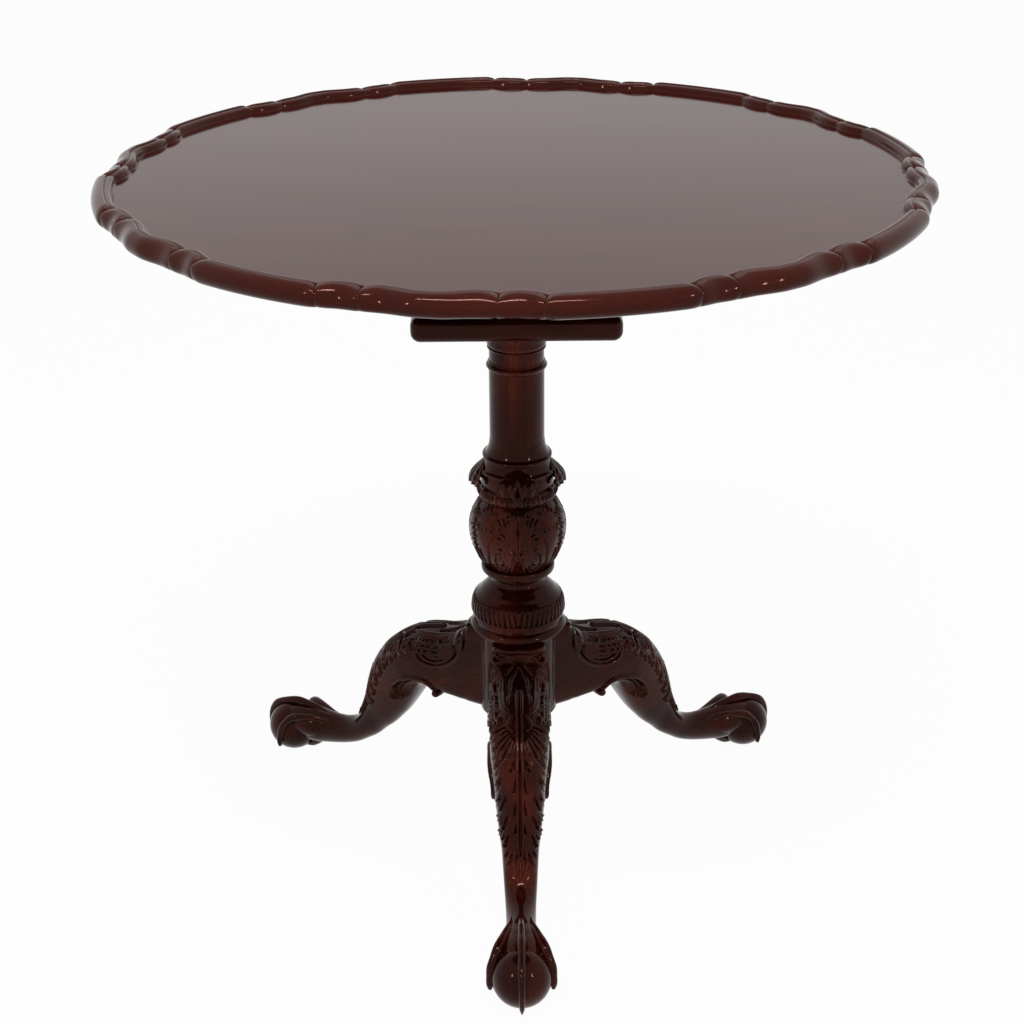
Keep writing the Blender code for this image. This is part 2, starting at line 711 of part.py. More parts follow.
def make_upper_plate():
    """Square plate with a rounded hinge edge and a turned pintle at each end of it."""
    half = PLATE_THICKNESS / 2
    outline = [(-UPPER_HALF, -half)]
    outline += arc((PINTLE_Y, 0), (half, half), -90, 90, 8)
    outline.append((-UPPER_HALF, half))
    mesh = outline_mesh("cage_upper_plate", outline, 2 * UPPER_HALF)
    sideways = Matrix(((0, 0, 1, 0), (1, 0, 0, 0), (0, 1, 0, PINTLE_Z), (0, 0, 0, 1)))
    mesh.transform(sideways)
    plate = add_part("cage_upper_plate", mesh, MAHOGANY)
    pintles = rod_mesh("pintles", PINTLE_RADIUS, 2 * (UPPER_HALF + PINTLE_LENGTH),
                       (0, PINTLE_Y, PINTLE_Z), (1, 0, 0), 16)
    join(plate, add_cutter("pintles", pintles))
    cut(plate, stem_hole("pin_bore", PIN_RADIUS, PINTLE_Z))
    cut(plate, *pin_holes(UPPER_PLATE_Z, "upper"))
    mortise = box_mesh("bolt_mortise", (STRIKE_HOLE, 2 * BOLT_BITE, STRIKE_HOLE), (0, -UPPER_HALF, PINTLE_Z))
    cut(plate, add_cutter("bolt_mortise", mortise))
    return plate


# Bearers under the top

def make_bearer(name, side):
    """Batten along Y with tapered ends, and the hole for a pintle."""
    half = BEARER_LENGTH / 2
    level = -BEARER_DEPTH
    outline = [(-half, -BEARER_TIP), (-half + BEARER_TAPER, level), (half - BEARER_TAPER, level),
               (half, -BEARER_TIP), (half, 0), (-half, 0)]
    mesh = outline_mesh(name, outline, BEARER_WIDTH)
    upright = Matrix(((0, 0, 1, side * BEARER_X), (1, 0, 0, 0), (0, 1, 0, TOP_Z - FIT), (0, 0, 0, 1)))
    mesh.transform(upright)
    bearer = add_part(name, mesh, MAHOGANY)
    hole = rod_mesh(f"{name}_hole", PINTLE_RADIUS + FIT, 2 * BEARER_WIDTH,
                    (side * BEARER_X, PINTLE_Y, PINTLE_Z), (1, 0, 0), 16)
    cut(bearer, add_cutter(f"{name}_hole", hole))
    return bearer


# Screws

def screw_profile(length, grow):
    """Countersunk screw with its head's face at Z = 0, or its hole when grown."""
    head = SCREW_HEAD_RADIUS + grow
    shank = SCREW_SHANK_RADIUS + grow
    point = length + grow
    lift = 4 * grow
    profile = [(0, lift), (head, lift)]
    if grow:
        profile.append((head, 0))
    profile += [(shank, -SCREW_HEAD_HEIGHT), (shank, -point), (0, -point)]
    return profile


def make_screw(name, place, inwards, length, look, *hosts):
    """A screw whose head is at a place, driven along a direction, and its hole in the hosts."""
    turn = Vector((0, 0, -1)).rotation_difference(Vector(inwards))
    seat = Vector(place) + Vector(inwards) * FIT
    screw = add_part(name, turned_mesh(name, screw_profile(length, 0.0), SCREW_STEPS), look)
    hole = add_cutter(f"{name}_hole", turned_mesh(f"{name}_hole", screw_profile(length, FIT), SCREW_STEPS))
    for obj in (screw, hole):
        obj.rotation_mode = "QUATERNION"
        obj.rotation_quaternion = turn
        obj.location = seat
    for host in hosts:
        cut(host, hole)
    return screw


def bearer_screws(bearer, side, top):
    """Three screws up through a bearer into the top board, kept clear of the pintle."""
    label = "left" if side < 0 else "right"
    reach = BEARER_LENGTH / 2 - BEARER_TAPER
    length = BEARER_DEPTH + BEARER_SCREW_BITE
    screws = []
    for index, spot in enumerate(BEARER_SCREW_SPOTS, 1):
        place = (side * BEARER_X, reach * spot, TOP_Z - FIT - BEARER_DEPTH)
        screws.append(make_screw(f"bearer_screw_{label}_{index}", place, (0, 0, 1), length, STEEL,
                                 bearer, top))
    return screws


# Brass bolt that keeps the top level

def make_bolt_plate():
    """Base plate with two guide loops for the bolt."""
    centre_z = BOLT_PLATE_Z + BRASS_THICKNESS / 2
    size = (BOLT_PLATE_WIDTH, BOLT_PLATE_LENGTH, BRASS_THICKNESS)
    plate = add_part("bolt_plate", box_mesh("bolt_plate", size, (0, BOLT_PLATE_Y, centre_z)), BRASS)
    outer = BOLT_RADIUS + SLIDE_GAP + GUIDE_WALL
    loop_top = BOLT_PLATE_Z + BRASS_THICKNESS / 2
    loop_low = PINTLE_Z - outer
    bore_length = 2 * BOLT_PLATE_LENGTH
    spacing = BOLT_PLATE_LENGTH - GUIDE_WIDTH - 2 * BRASS_THICKNESS
    for index, share in enumerate((-0.5, 0.5)):
        centre = (0, BOLT_PLATE_Y + share * spacing, (loop_top + loop_low) / 2)
        loop = box_mesh("guide", (2 * outer, GUIDE_WIDTH, loop_top - loop_low), centre)
        join(plate, add_cutter(f"guide_{index}", loop))
    bore = rod_mesh("guide_bore", BOLT_RADIUS + FIT, bore_length, (0, BOLT_PLATE_Y, PINTLE_Z),
                    (0, 1, 0), BOLT_SIDES)
    cut(plate, add_cutter("guide_bore", bore))
    return plate


def make_bolt():
    """Round bolt, drawn, with a turned knob to push it by."""
    centre = (0, BOLT_TIP_Y - BOLT_LENGTH / 2, PINTLE_Z)
    rod = rod_mesh("bolt", BOLT_RADIUS, BOLT_LENGTH, centre, (0, 1, 0), BOLT_SIDES)
    bolt = add_part("bolt", rod, BRASS)
    neck = 0.5 * KNOB_RADIUS
    low = -BOLT_RADIUS - KNOB_DROP
    ball = arc((0, low + KNOB_RADIUS), (KNOB_RADIUS, KNOB_RADIUS), 60, -90, 5)
    profile = [(0, 0), (neck, 0)] + ball[:-1] + [(0, low)]
    knob = add_cutter("knob", turned_mesh("knob", profile, BOLT_SIDES))
    knob.location = (0, BOLT_PLATE_Y - BOLT_TRAVEL / 2, PINTLE_Z)
    join(bolt, knob)
    return bolt


def make_strike():
    """Plate let onto the front edge of the upper plate, with a hole for the bolt."""
    centre = (0, STRIKE_Y - BRASS_THICKNESS / 2, PINTLE_Z)
    strike = add_part("strike_plate", box_mesh("strike_plate", (STRIKE_WIDTH, BRASS_THICKNESS, STRIKE_HEIGHT),
                                               centre), BRASS)
    hole = box_mesh("strike_hole", (STRIKE_HOLE, 4 * BRASS_THICKNESS, STRIKE_HOLE), centre)
    cut(strike, add_cutter("strike_hole", hole))
    return strike


def bolt_screws(plate, strike, top, upper_plate):
    screws = []
    spread = BOLT_PLATE_WIDTH / 2 - SCREW_EDGE * SCREW_HEAD_RADIUS
    run = BOLT_PLATE_LENGTH / 2 - SCREW_EDGE * SCREW_HEAD_RADIUS
    corners = [(x, y) for x in (-spread, spread) for y in (-run, run)]
    for index, (x, y) in enumerate(corners, 1):
        place = (x, BOLT_PLATE_Y + y, BOLT_PLATE_Z)
        screws.append(make_screw(f"bolt_plate_screw_{index}", place, (0, 0, 1), SHORT_SCREW, BRASS,
                                 plate, top))
    spread = STRIKE_WIDTH / 2 - SCREW_EDGE * SCREW_HEAD_RADIUS
    strike_screws = []
    for index, x in enumerate((-spread, spread), 1):
        place = (x, STRIKE_Y - BRASS_THICKNESS, PINTLE_Z)
        strike_screws.append(make_screw(f"strike_screw_{index}", place, (0, 1, 0), SHORT_SCREW, BRASS,
                                        strike, upper_plate))
    return screws, strike_screws


# Iron brace under the hub

def brace_outline():
    """Three arms with round ends, joined at the middle."""
    half = BRACE_WIDTH / 2
    root = half / math.tan(math.pi / LEG_COUNT)
    outline = []
    for index in range(LEG_COUNT):
        angle = FRONT + 2 * math.pi * index / LEG_COUNT
        along = Vector((math.cos(angle), math.sin(angle)))
        across = Vector((-along.y, along.x))
        arm = [(root, -half)] + arc((BRACE_REACH - half, 0), (half, half), -90, 90, 4)
        outline += [tuple(along * reach + across * side) for reach, side in arm]
    return outline


def make_brace(legs):
    brace = add_part("base_brace", outline_mesh("base_brace", brace_outline(), BRACE_THICKNESS), IRON)
    brace.location.z = HUB_BOTTOM - FIT - BRACE_THICKNESS / 2
    low = HUB_BOTTOM - FIT - BRACE_THICKNESS
    near = HUB_RADIUS + 2 * SCREW_HEAD_RADIUS
    far = BRACE_REACH - 2 * SCREW_HEAD_RADIUS
    screws = []
    for leg, angle, name in zip(legs, map(leg_angle, range(LEG_COUNT)), ("front", "left", "right")):
        for index, reach in enumerate((near, far), 1):
            place = (reach * math.cos(angle), reach * math.sin(angle), low)
            screws.append(make_screw(f"brace_screw_{name}_{index}", place, (0, 0, 1), BRACE_SCREW, IRON,
                                     brace, leg))
    return [brace] + screws


# Empties on the joint axes

def joint_empty(name, place, parent=None):
    empty = bpy.data.objects.new(name, None)
    empty.empty_display_size = PLATE_SIDE
    PARTS.objects.link(empty)
    empty.location = place
    if parent is not None:
        hang([empty], parent)
    return empty


def hang(pieces, empty):
    """Parent pieces to an empty and leave them where they are."""
    bpy.context.view_layer.update()
    for piece in pieces:
        piece.parent = empty
        piece.matrix_parent_inverse = empty.matrix_world.inverted()


def main():
    legs = make_legs()
    make_pillar()
    make_collar()
    make_brace(legs)
    key = make_key()
    lower_plate = make_lower_plate()
    upper_plate = make_upper_plate()
    columns = make_colonnettes()
    top = make_top_board()
    left = make_bearer("bearer_left", -1)
    right = make_bearer("bearer_right", 1)
    bearing = [top, left, right] + bearer_screws(left, -1, top) + bearer_screws(right, 1, top)
    plate = make_bolt_plate()
    bolt = make_bolt()
    strike = make_strike()
    plate_screws, strike_screws = bolt_screws(plate, strike, top, upper_plate)

    cage_axis = joint_empty("cage_swivel_axis", (0, 0, LOWER_PLATE_Z))
    tilt_axis = joint_empty("top_tilt_axis", (0, PINTLE_Y, PINTLE_Z), cage_axis)
    bolt_axis = joint_empty("bolt_slide_axis", (0, BOLT_TIP_Y, PINTLE_Z), tilt_axis)
    key_axis = joint_empty("key_slide_axis", (0, 0, KEY_Z))
    hang([lower_plate, upper_plate, strike] + columns + strike_screws, cage_axis)
    hang(bearing + [plate] + plate_screws, tilt_axis)
    hang([bolt], bolt_axis)
    hang([key], key_axis)


main()
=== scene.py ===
"""Piecrust tilt-top tea table in polished mahogany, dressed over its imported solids.

Metres, +Z up. The front leg points to -Y, and the camera stands in front of it.
"""
import json
import math

import bpy
import numpy as np
from mathutils import Matrix, Vector


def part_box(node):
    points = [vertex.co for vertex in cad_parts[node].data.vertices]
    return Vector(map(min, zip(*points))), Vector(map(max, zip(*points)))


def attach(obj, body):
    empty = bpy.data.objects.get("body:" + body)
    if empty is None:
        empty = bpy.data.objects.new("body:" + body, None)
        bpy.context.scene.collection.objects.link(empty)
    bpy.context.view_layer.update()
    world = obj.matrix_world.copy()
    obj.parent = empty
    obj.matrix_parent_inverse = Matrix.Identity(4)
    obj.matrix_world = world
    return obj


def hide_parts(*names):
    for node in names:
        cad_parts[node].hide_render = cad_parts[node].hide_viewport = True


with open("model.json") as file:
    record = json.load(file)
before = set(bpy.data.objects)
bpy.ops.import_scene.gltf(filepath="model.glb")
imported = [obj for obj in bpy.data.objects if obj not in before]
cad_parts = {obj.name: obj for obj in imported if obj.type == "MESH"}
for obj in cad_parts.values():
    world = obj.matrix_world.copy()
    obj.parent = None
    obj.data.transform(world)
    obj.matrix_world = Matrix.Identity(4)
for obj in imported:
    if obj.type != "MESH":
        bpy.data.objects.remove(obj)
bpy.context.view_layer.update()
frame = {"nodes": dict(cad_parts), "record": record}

FRONT = -math.pi / 2

# Camera, as the photograph was taken
CAMERA_PLACE = (-0.0056, -1.6593, 1.1579)
CAMERA_PITCH = math.radians(64.55)
CAMERA_ROLL = -0.0081
CAMERA_LENS = 64.17

# Heights that the solids give
TOP_LOW, TOP_HIGH = (corner.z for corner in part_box("top_board"))
PLATE_LOW, PLATE_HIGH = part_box("cage_lower_plate")

# Piecrust rim, as angles from the middle of a bracket and drops inside the long arcs
RIM_RADIUS = 0.385
RIM_REPEATS = 8
RIM_TURN = math.radians(-10.4)
CUSP_ANGLE = math.radians(8.1)
CORNER_ANGLE = math.radians(13.2)
BULGE_DROP = 0.0018
BULGE_SHARE = 0.12
DIP_DROP = 0.0085
DIP_SHARE = 0.74
CUSP_DROP = 0.0042
LOBE_SCOOP = 0.0058
NICK_DEPTH = 0.0038         # round-shouldered cut at each corner of the nose
NICK_FALL = 0.0042          # and how far the crest dips there
NICK_REACH = 0.0115
LOW_SCALLOP = 0.55          # share of the scallops left at the underside

# Rim section: inset from the outline and height above the underside
RIM_NOSE = (0.0080, 0.0092)
RIM_CREST = (0.0106, 0.0105)
RIM_BANDS = (
    (0.0113, 0.0193), (0.0118, 0.0187), (0.0121, 0.0180), (0.0124, 0.0178), (0.0128, 0.0181),
    (0.0135, 0.0185), (0.0146, 0.0187), (0.0157, 0.0185), (0.0167, 0.0181), (0.0176, 0.0175),
    (0.0183, 0.0168), (0.0188, 0.0160), (0.0190, 0.0152), (0.0192, 0.0146), (0.0194, 0.0137),
    (0.0197, 0.0128), (0.0203, 0.0122), (0.0210, 0.0120), (0.0225, 0.0120), (0.0250, 0.0120),
)

# Leg: ridge reach and height, underside reach and height, half width, squareness
LEG_ROWS = (
    (0.0250, 0.2385, 0.0250, 0.1455, 0.0290, 12.0),
    (0.0400, 0.2385, 0.0400, 0.1455, 0.0290, 12.0),
    (0.0470, 0.2383, 0.0475, 0.1455, 0.0290, 12.0),
    (0.0510, 0.2372, 0.0515, 0.1455, 0.0290, 12.0),
    (0.0530, 0.2345, 0.0538, 0.1455, 0.0290, 11.0),
    (0.0537, 0.2310, 0.0552, 0.1455, 0.0290, 11.0),
    (0.0548, 0.2275, 0.0568, 0.1455, 0.0290, 10.0),
    (0.0585, 0.2235, 0.0605, 0.1455, 0.0290, 10.0),
    (0.0650, 0.2198, 0.0665, 0.1455, 0.0290, 9.0),
    (0.0740, 0.2168, 0.0740, 0.1455, 0.0290, 8.0),
    (0.0870, 0.2137, 0.0850, 0.1455, 0.0292, 6.5),
    (0.0990, 0.2112, 0.0945, 0.1460, 0.0295, 5.5),
    (0.1140, 0.2072, 0.1035, 0.1465, 0.0297, 4.5),
    (0.1275, 0.2010, 0.1100, 0.1445, 0.0296, 3.8),
    (0.1378, 0.1945, 0.1145, 0.1385, 0.0292, 3.4),
    (0.1480, 0.1865, 0.1190, 0.1295, 0.0287, 3.1),
    (0.1600, 0.1752, 0.1260, 0.1165, 0.0270, 2.9),
    (0.1732, 0.1560, 0.1370, 0.0985, 0.0245, 2.7),
    (0.1800, 0.1417, 0.1460, 0.0870, 0.0228, 2.6),
    (0.1850, 0.1252, 0.1560, 0.0755, 0.0208, 2.5),
    (0.1892, 0.1075, 0.1680, 0.0645, 0.0186, 2.4),
    (0.1950, 0.0905, 0.1790, 0.0535, 0.0175, 2.3),
    (0.2022, 0.0756, 0.1920, 0.0440, 0.0165, 2.2),
    (0.2110, 0.0662, 0.2055, 0.0350, 0.0156, 2.1),
    (0.2240, 0.0602, 0.2210, 0.0280, 0.0148, 2.0),
    (0.2370, 0.0582, 0.2360, 0.0232, 0.0146, 2.0),
    (0.2500, 0.0585, 0.2500, 0.0195, 0.0150, 2.0),
    (0.2620, 0.0595, 0.2620, 0.0170, 0.0170, 2.0),
    (0.2740, 0.0595, 0.2740, 0.0165, 0.0180, 2.0),
    (0.2840, 0.0560, 0.2840, 0.0210, 0.0160, 2.0),
)
# Squareness of its upper half by reach
LEG_CROWN = ((0.0540, 0.0590, 0.0650, 0.0740, 0.0870), (12.0, 6.0, 3.5, 2.6, 2.2))
# How far its sides are set back at the shoulder, by reach
SHOULDER_BOW = ((0.025, 0.045, 0.055, 0.080), (0, 0.0062, 0.0062, 0))
LEG_ACROSS = 220            # points round a section
LEG_STEP = 0.00105          # spacing of the rows along the leg
BALL_PLACE = (0.3000, 0.0, 0.0275)
BALL_RADIUS = 0.0285
HOOD_PLACE = (0.2780, 0.0, 0.0400)
HOOD_RADII = (0.0360, 0.0212, 0.0190)

# Toes: reach, side, height and radius from the ankle to the tip of the claw
FRONT_TOE = (
    (0.2500, 0.0000, 0.0545, 0.0030), (0.2640, 0.0000, 0.0585, 0.0038), (0.2780, 0.0000, 0.0600, 0.0045),
    (0.2920, 0.0000, 0.0602, 0.0050), (0.3080, 0.0000, 0.0562, 0.0041), (0.3215, 0.0000, 0.0488, 0.0044),
    (0.3290, 0.0000, 0.0390, 0.0037), (0.3318, 0.0000, 0.0275, 0.0034), (0.3312, 0.0000, 0.0165, 0.0028),
    (0.3290, 0.0000, 0.0085, 0.0010),
)
SIDE_TOE = (
    (0.2300, 0.0055, 0.0500, 0.0032), (0.2480, 0.0085, 0.0505, 0.0039), (0.2680, 0.0138, 0.0530, 0.0045),
    (0.2850, 0.0205, 0.0510, 0.0052), (0.2935, 0.0252, 0.0440, 0.0044), (0.2975, 0.0276, 0.0360, 0.0048),
    (0.2995, 0.0290, 0.0270, 0.0039), (0.3000, 0.0296, 0.0195, 0.0034), (0.3000, 0.0296, 0.0140, 0.0020),
)
REAR_TOE = (
    (0.2560, 0.0000, 0.0300, 0.0050), (0.2640, 0.0000, 0.0210, 0.0056), (0.2710, 0.0000, 0.0140, 0.0050),
    (0.2770, 0.0000, 0.0090, 0.0038), (0.2840, 0.0000, 0.0050, 0.0014),
)


# Shader sums

class Value:
    """A shader socket that takes part in Python sums."""

    def __init__(self, tree, socket=None):
        self.tree = tree
        self.socket = socket

    def node(self, kind, settings=None, links=None, out=0):
        """A new node: its settings first, then the values or links of its sockets."""
        made = self.tree.nodes.new("ShaderNode" + kind)
        for key, setting in (settings or {}).items():
            if key == "stops":
                ramp = made.color_ramp.elements
                while len(ramp) < len(setting):
                    ramp.new(0.5)
                for element, (place, colour) in zip(ramp, setting):
                    element.position = place
                    element.color = (*colour, 1.0)
            else:
                setattr(made, key, setting)
        for key, value in (links or {}).items():
            if isinstance(value, Value):
                self.tree.links.new(value.socket, made.inputs[key])
            else:
                made.inputs[key].default_value = value
        return Value(self.tree, made.outputs[out])

    def sum(self, operation, first, second):
        return self.node("Math", {"operation": operation}, {0: first, 1: second})

    def __add__(self, other):
        return self.sum("ADD", self, other)

    def __sub__(self, other):
        return self.sum("SUBTRACT", self, other)

    def __rsub__(self, other):
        return self.sum("SUBTRACT", other, self)

    def __mul__(self, other):
        return self.sum("MULTIPLY", self, other)

    __radd__ = __add__
    __rmul__ = __mul__

    def between(self, low, high):
        """0 below one value, 1 above another, and a smooth rise between them."""
        return self.node("MapRange", {"interpolation_type": "SMOOTHSTEP"},
                         {"Value": self, "From Min": low, "From Max": high})

    def highest(self, other):
        return self.sum("MAXIMUM", self, other)


def new_finish(name):
    """An empty material, its shader and a start for sums."""
    material = bpy.data.materials.new(name)
    material.use_nodes = True
    tree = material.node_tree
    return material, tree.nodes["Principled BSDF"], Value(tree)


def feed(start, shader, socket, value):
    start.tree.links.new(value.socket, shader.inputs[socket])


def stretched_noise(start, coord, scale, stretch, detail=2.0, turn=(0, 0, 0), shift=(0, 0, 0)):
    """Noise drawn out along the grain."""
    mapped = start.node("Mapping", None, {"Vector": coord, "Rotation": turn, "Location": shift})
    drawn = start.node("Mapping", None, {"Vector": mapped, "Scale": stretch})
    return start.node("TexNoise", None,
                      {"Vector": drawn, "Scale": scale, "Detail": detail, "Roughness": 0.55})


# Tones of the polished wood, from its dark streaks to its light ones
WOOD_STOPS = (
    (0.25, (0.0050, 0.0009, 0.0007)),
    (0.42, (0.0200, 0.0028, 0.0018)),
    (0.56, (0.0480, 0.0060, 0.0032)),
    (0.80, (0.1400, 0.0230, 0.0080)),
)
# The same mahogany for the top, with its own tones apart from the legs' to balance how differently light
# falls on the rim and on the legs: painted light and shade.
TOP_STOPS = (
    (0.25, (0.0140, 0.0024, 0.0017)),
    (0.45, (0.0380, 0.0058, 0.0036)),
    (0.58, (0.0590, 0.0094, 0.0052)),
    (0.80, (0.1000, 0.0200, 0.0090)),
)
POLISH_IOR = 1.26
POLISH_TINT = (1.0, 0.52, 0.44, 1.0)


def mahogany(name, turn=(0, 0, 0), shift=(0, 0, 0), depth=1.5, carved=False, ripple=0.03,
             stops=WOOD_STOPS):
    """French-polished mahogany with its grain along X, turned by an angle about each axis."""
    material, shader, start = new_finish(name)
    coord = start.node("TexCoord", None, None, "Object")
    figure = stretched_noise(start, coord, 8.0, (0.5, 3.2, 3.2), 3.0, turn, shift)
    fibre = stretched_noise(start, coord, 30.0, (0.35, 14.0, 14.0), 3.0, turn, shift)
    mottle = stretched_noise(start, coord, 16.0, (0.8, 1.6, 1.6), 2.0, turn, (0.3, 0.7, 0.1))
    pores = stretched_noise(start, coord, 160.0, (0.1, 6.0, 6.0), 1.0, turn, shift)
    tone = 0.5 - 0.5 * depth + depth * (0.4 * figure + 0.26 * fibre + 0.34 * mottle)
    dashes = pores.between(0.6, 0.72)
    if carved:
        # Pointiness makes the convex ridges lighter and the carved recesses darker; the darkening in the
        # recesses is painted shade.
        edge = start.node("NewGeometry", None, None, "Pointiness")
        lighter_ridges = edge.between(0.52, 0.62)
        painted_recess_shade = 1 - edge.between(0.4, 0.5)
        tone = tone + 0.16 * lighter_ridges - 0.34 * painted_recess_shade
    colour = start.node("ValToRGB", {"stops": stops}, {"Fac": tone})
    darker = start.node("Mix", {"data_type": "RGBA", "blend_type": "MULTIPLY"},
                        {"Factor": 0.45 * dashes, "A": colour, "B": (0.3, 0.26, 0.24, 1.0)}, 2)
    feed(start, shader, "Base Color", darker)
    feed(start, shader, "Roughness", 0.055 + 0.05 * fibre + 0.03 * mottle)
    height = 0.6 * fibre - 1.0 * dashes
    bump = start.node("Bump", None, {"Strength": ripple, "Distance": 0.0002, "Height": height})
    feed(start, shader, "Normal", bump)
    shader.inputs["IOR"].default_value = POLISH_IOR
    shader.inputs["Specular Tint"].default_value = POLISH_TINT
    return material


def bare_oak():
    material, shader, start = new_finish("bare_oak")
    coord = start.node("TexCoord", None, None, "Object")
    fibre = stretched_noise(start, coord, 40.0, (9.0, 0.5, 9.0), 4.0)
    flecks = stretched_noise(start, coord, 120.0, (5.0, 0.3, 5.0), 1.0)
    colour = start.node("ValToRGB", {"stops": ((0.3, (0.11, 0.06, 0.03)), (0.7, (0.24, 0.145, 0.08)))},
                        {"Fac": 0.7 * fibre + 0.3 * flecks})
    feed(start, shader, "Base Color", colour)
    feed(start, shader, "Roughness", 0.55 + 0.2 * fibre)
    bump = start.node("Bump", None, {"Strength": 0.25, "Distance": 0.0005, "Height": fibre})
    feed(start, shader, "Normal", bump)
    return material


def metal(name, dull, bright, roughness, tarnish_scale=60.0):
    """Handled metal with patches of tarnish and fine scratches."""
    material, shader, start = new_finish(name)
    coord = start.node("TexCoord", None, None, "Object")
    patches = start.node("TexNoise", None, {"Vector": coord, "Scale": tarnish_scale, "Detail": 4.0})
    scratches = stretched_noise(start, coord, 300.0, (1.0, 0.1, 4.0), 2.0)
    edge = start.node("NewGeometry", None, None, "Pointiness")
    tone = patches + 0.5 * edge.between(0.5, 0.6) - 0.1
    colour = start.node("ValToRGB", {"stops": ((0.35, dull), (0.68, bright))}, {"Fac": tone})
    feed(start, shader, "Base Color", colour)
    feed(start, shader, "Roughness", roughness + 0.22 * patches + 0.08 * scratches)
    bump = start.node("Bump", None,
                      {"Strength": 0.15, "Distance": 0.0002, "Height": patches + 0.5 * scratches})
    feed(start, shader, "Normal", bump)
    shader.inputs["Metallic"].default_value = 1.0
    return material


# Modelling steps

def deselect():
    if bpy.context.mode != "OBJECT":
        bpy.ops.object.mode_set(mode="OBJECT")
    bpy.ops.object.select_all(action="DESELECT")


def pick(*objects):
    """Select objects, with the first one active."""
    deselect()
    for obj in objects:
        obj.select_set(True)
    bpy.context.view_layer.objects.active = objects[0]


def edit_all(obj):
    """Open a piece in edit mode with all of it selected."""
    pick(obj)
    bpy.ops.object.mode_set(mode="EDIT")
    bpy.ops.mesh.select_all(action="SELECT")


def points_of(obj):
    points = np.empty(len(obj.data.vertices) * 3, dtype=np.float32)
    obj.data.vertices.foreach_get("co", points)
    return points.reshape(-1, 3).astype(float)


def move_points(obj, points):
    obj.data.vertices.foreach_set("co", np.asarray(points).astype(np.float32).ravel())
    obj.data.update()


def copy_of(obj, name, place=Matrix()):
    """A copy with its own mesh, put in its place."""
    copy = bpy.data.objects.new(name, obj.data.copy())
    bpy.context.scene.collection.objects.link(copy)
    copy.data.transform(place)
    return copy


def close_up(obj, holes=True):
    """Merge doubles, fill open ends and turn the faces outwards."""
    edit_all(obj)
    bpy.ops.mesh.remove_doubles(threshold=1e-6)
    bpy.ops.mesh.delete_loose()
    if holes:
        bpy.ops.mesh.select_all(action="SELECT")
        bpy.ops.mesh.fill_holes(sides=0)
    bpy.ops.mesh.select_all(action="SELECT")
    bpy.ops.mesh.normals_make_consistent(inside=False)
    bpy.ops.object.mode_set(mode="OBJECT")


def smooth(obj, degrees=40.0):
    pick(obj)
    bpy.ops.object.shade_smooth_by_angle(angle=math.radians(degrees))


def skin(name, rows):
    """A grid wrapped over rows of points, closed on itself and capped at its ends."""
    rows = np.concatenate([rows, rows[:, :1]], axis=1)
    deselect()
    bpy.ops.mesh.primitive_grid_add(x_subdivisions=rows.shape[1] - 1, y_subdivisions=rows.shape[0] - 1,
                                    size=1)
    obj = bpy.context.object
    obj.name = name
    move_points(obj, rows)
    close_up(obj)
    return obj


def turned(name, profile, steps):
    """A closed outline of (radius, height) spun about Z."""
    deselect()
    bpy.ops.mesh.primitive_circle_add(vertices=len(profile), radius=0.01)
    obj = bpy.context.object
    obj.name = name
    move_points(obj, [(radius, 0.0, height) for radius, height in profile])
    edit_all(obj)
    bpy.ops.mesh.spin(steps=steps, angle=2 * math.pi, center=(0, 0, 0), axis=(0, 0, 1))
    bpy.ops.object.mode_set(mode="OBJECT")
    close_up(obj, holes=False)
    return obj


def apply_modifiers(obj):
    pick(obj)
    for modifier in list(obj.modifiers):
        bpy.ops.object.modifier_apply(modifier=modifier.name)


def combine(obj, operation, *tools):
    """Join closed bodies to a piece, or cut them out of it."""
    for tool in tools:
        modifier = obj.modifiers.new("combine", "BOOLEAN")
        modifier.operation = operation
        modifier.solver = "MANIFOLD"
        modifier.object = tool
    apply_modifiers(obj)
    for tool in tools:
        bpy.data.objects.remove(tool)


def dress(obj, material, body, slot, *nodes):
    """Give a piece its finish, the body it rides on and the solids it stands for."""
    obj.data.materials.clear()
    obj.data.materials.append(material)
    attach(obj, body)
    if nodes:
        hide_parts(*nodes)


def curve_through(rows, steps):
    """Rows of numbers joined by a smooth curve, with an even count of steps between them."""
    rows = np.asarray(rows, dtype=float)
    ends = np.concatenate([rows[:1], rows, rows[-1:]])
    pieces = []
    for i in range(len(rows) - 1):
        p0, p1, p2, p3 = ends[i:i + 4]
        count = steps if isinstance(steps, int) else steps[i]
        t = (np.arange(count) / count)[:, None]
        pieces.append(p1 + 0.5 * t * (p2 - p0 + t * (2 * p0 - 5 * p1 + 4 * p2 - p3
                                                     + t * (3 * (p1 - p2) + p3 - p0))))
    pieces.append(rows[-1:])
    return np.concatenate(pieces)


# Carving: rounded strokes laid on a flat chart, in metres

def stroke(points, start, end, rise, belly=0.0, vein=0.0, steps=6):
    """A carved ridge along a smooth path: half widths at its ends, swell between, height and vein."""
    path = curve_through(points, steps) if len(points) > 2 else np.asarray(points, dtype=float)
    return path, start, end, rise, belly, vein


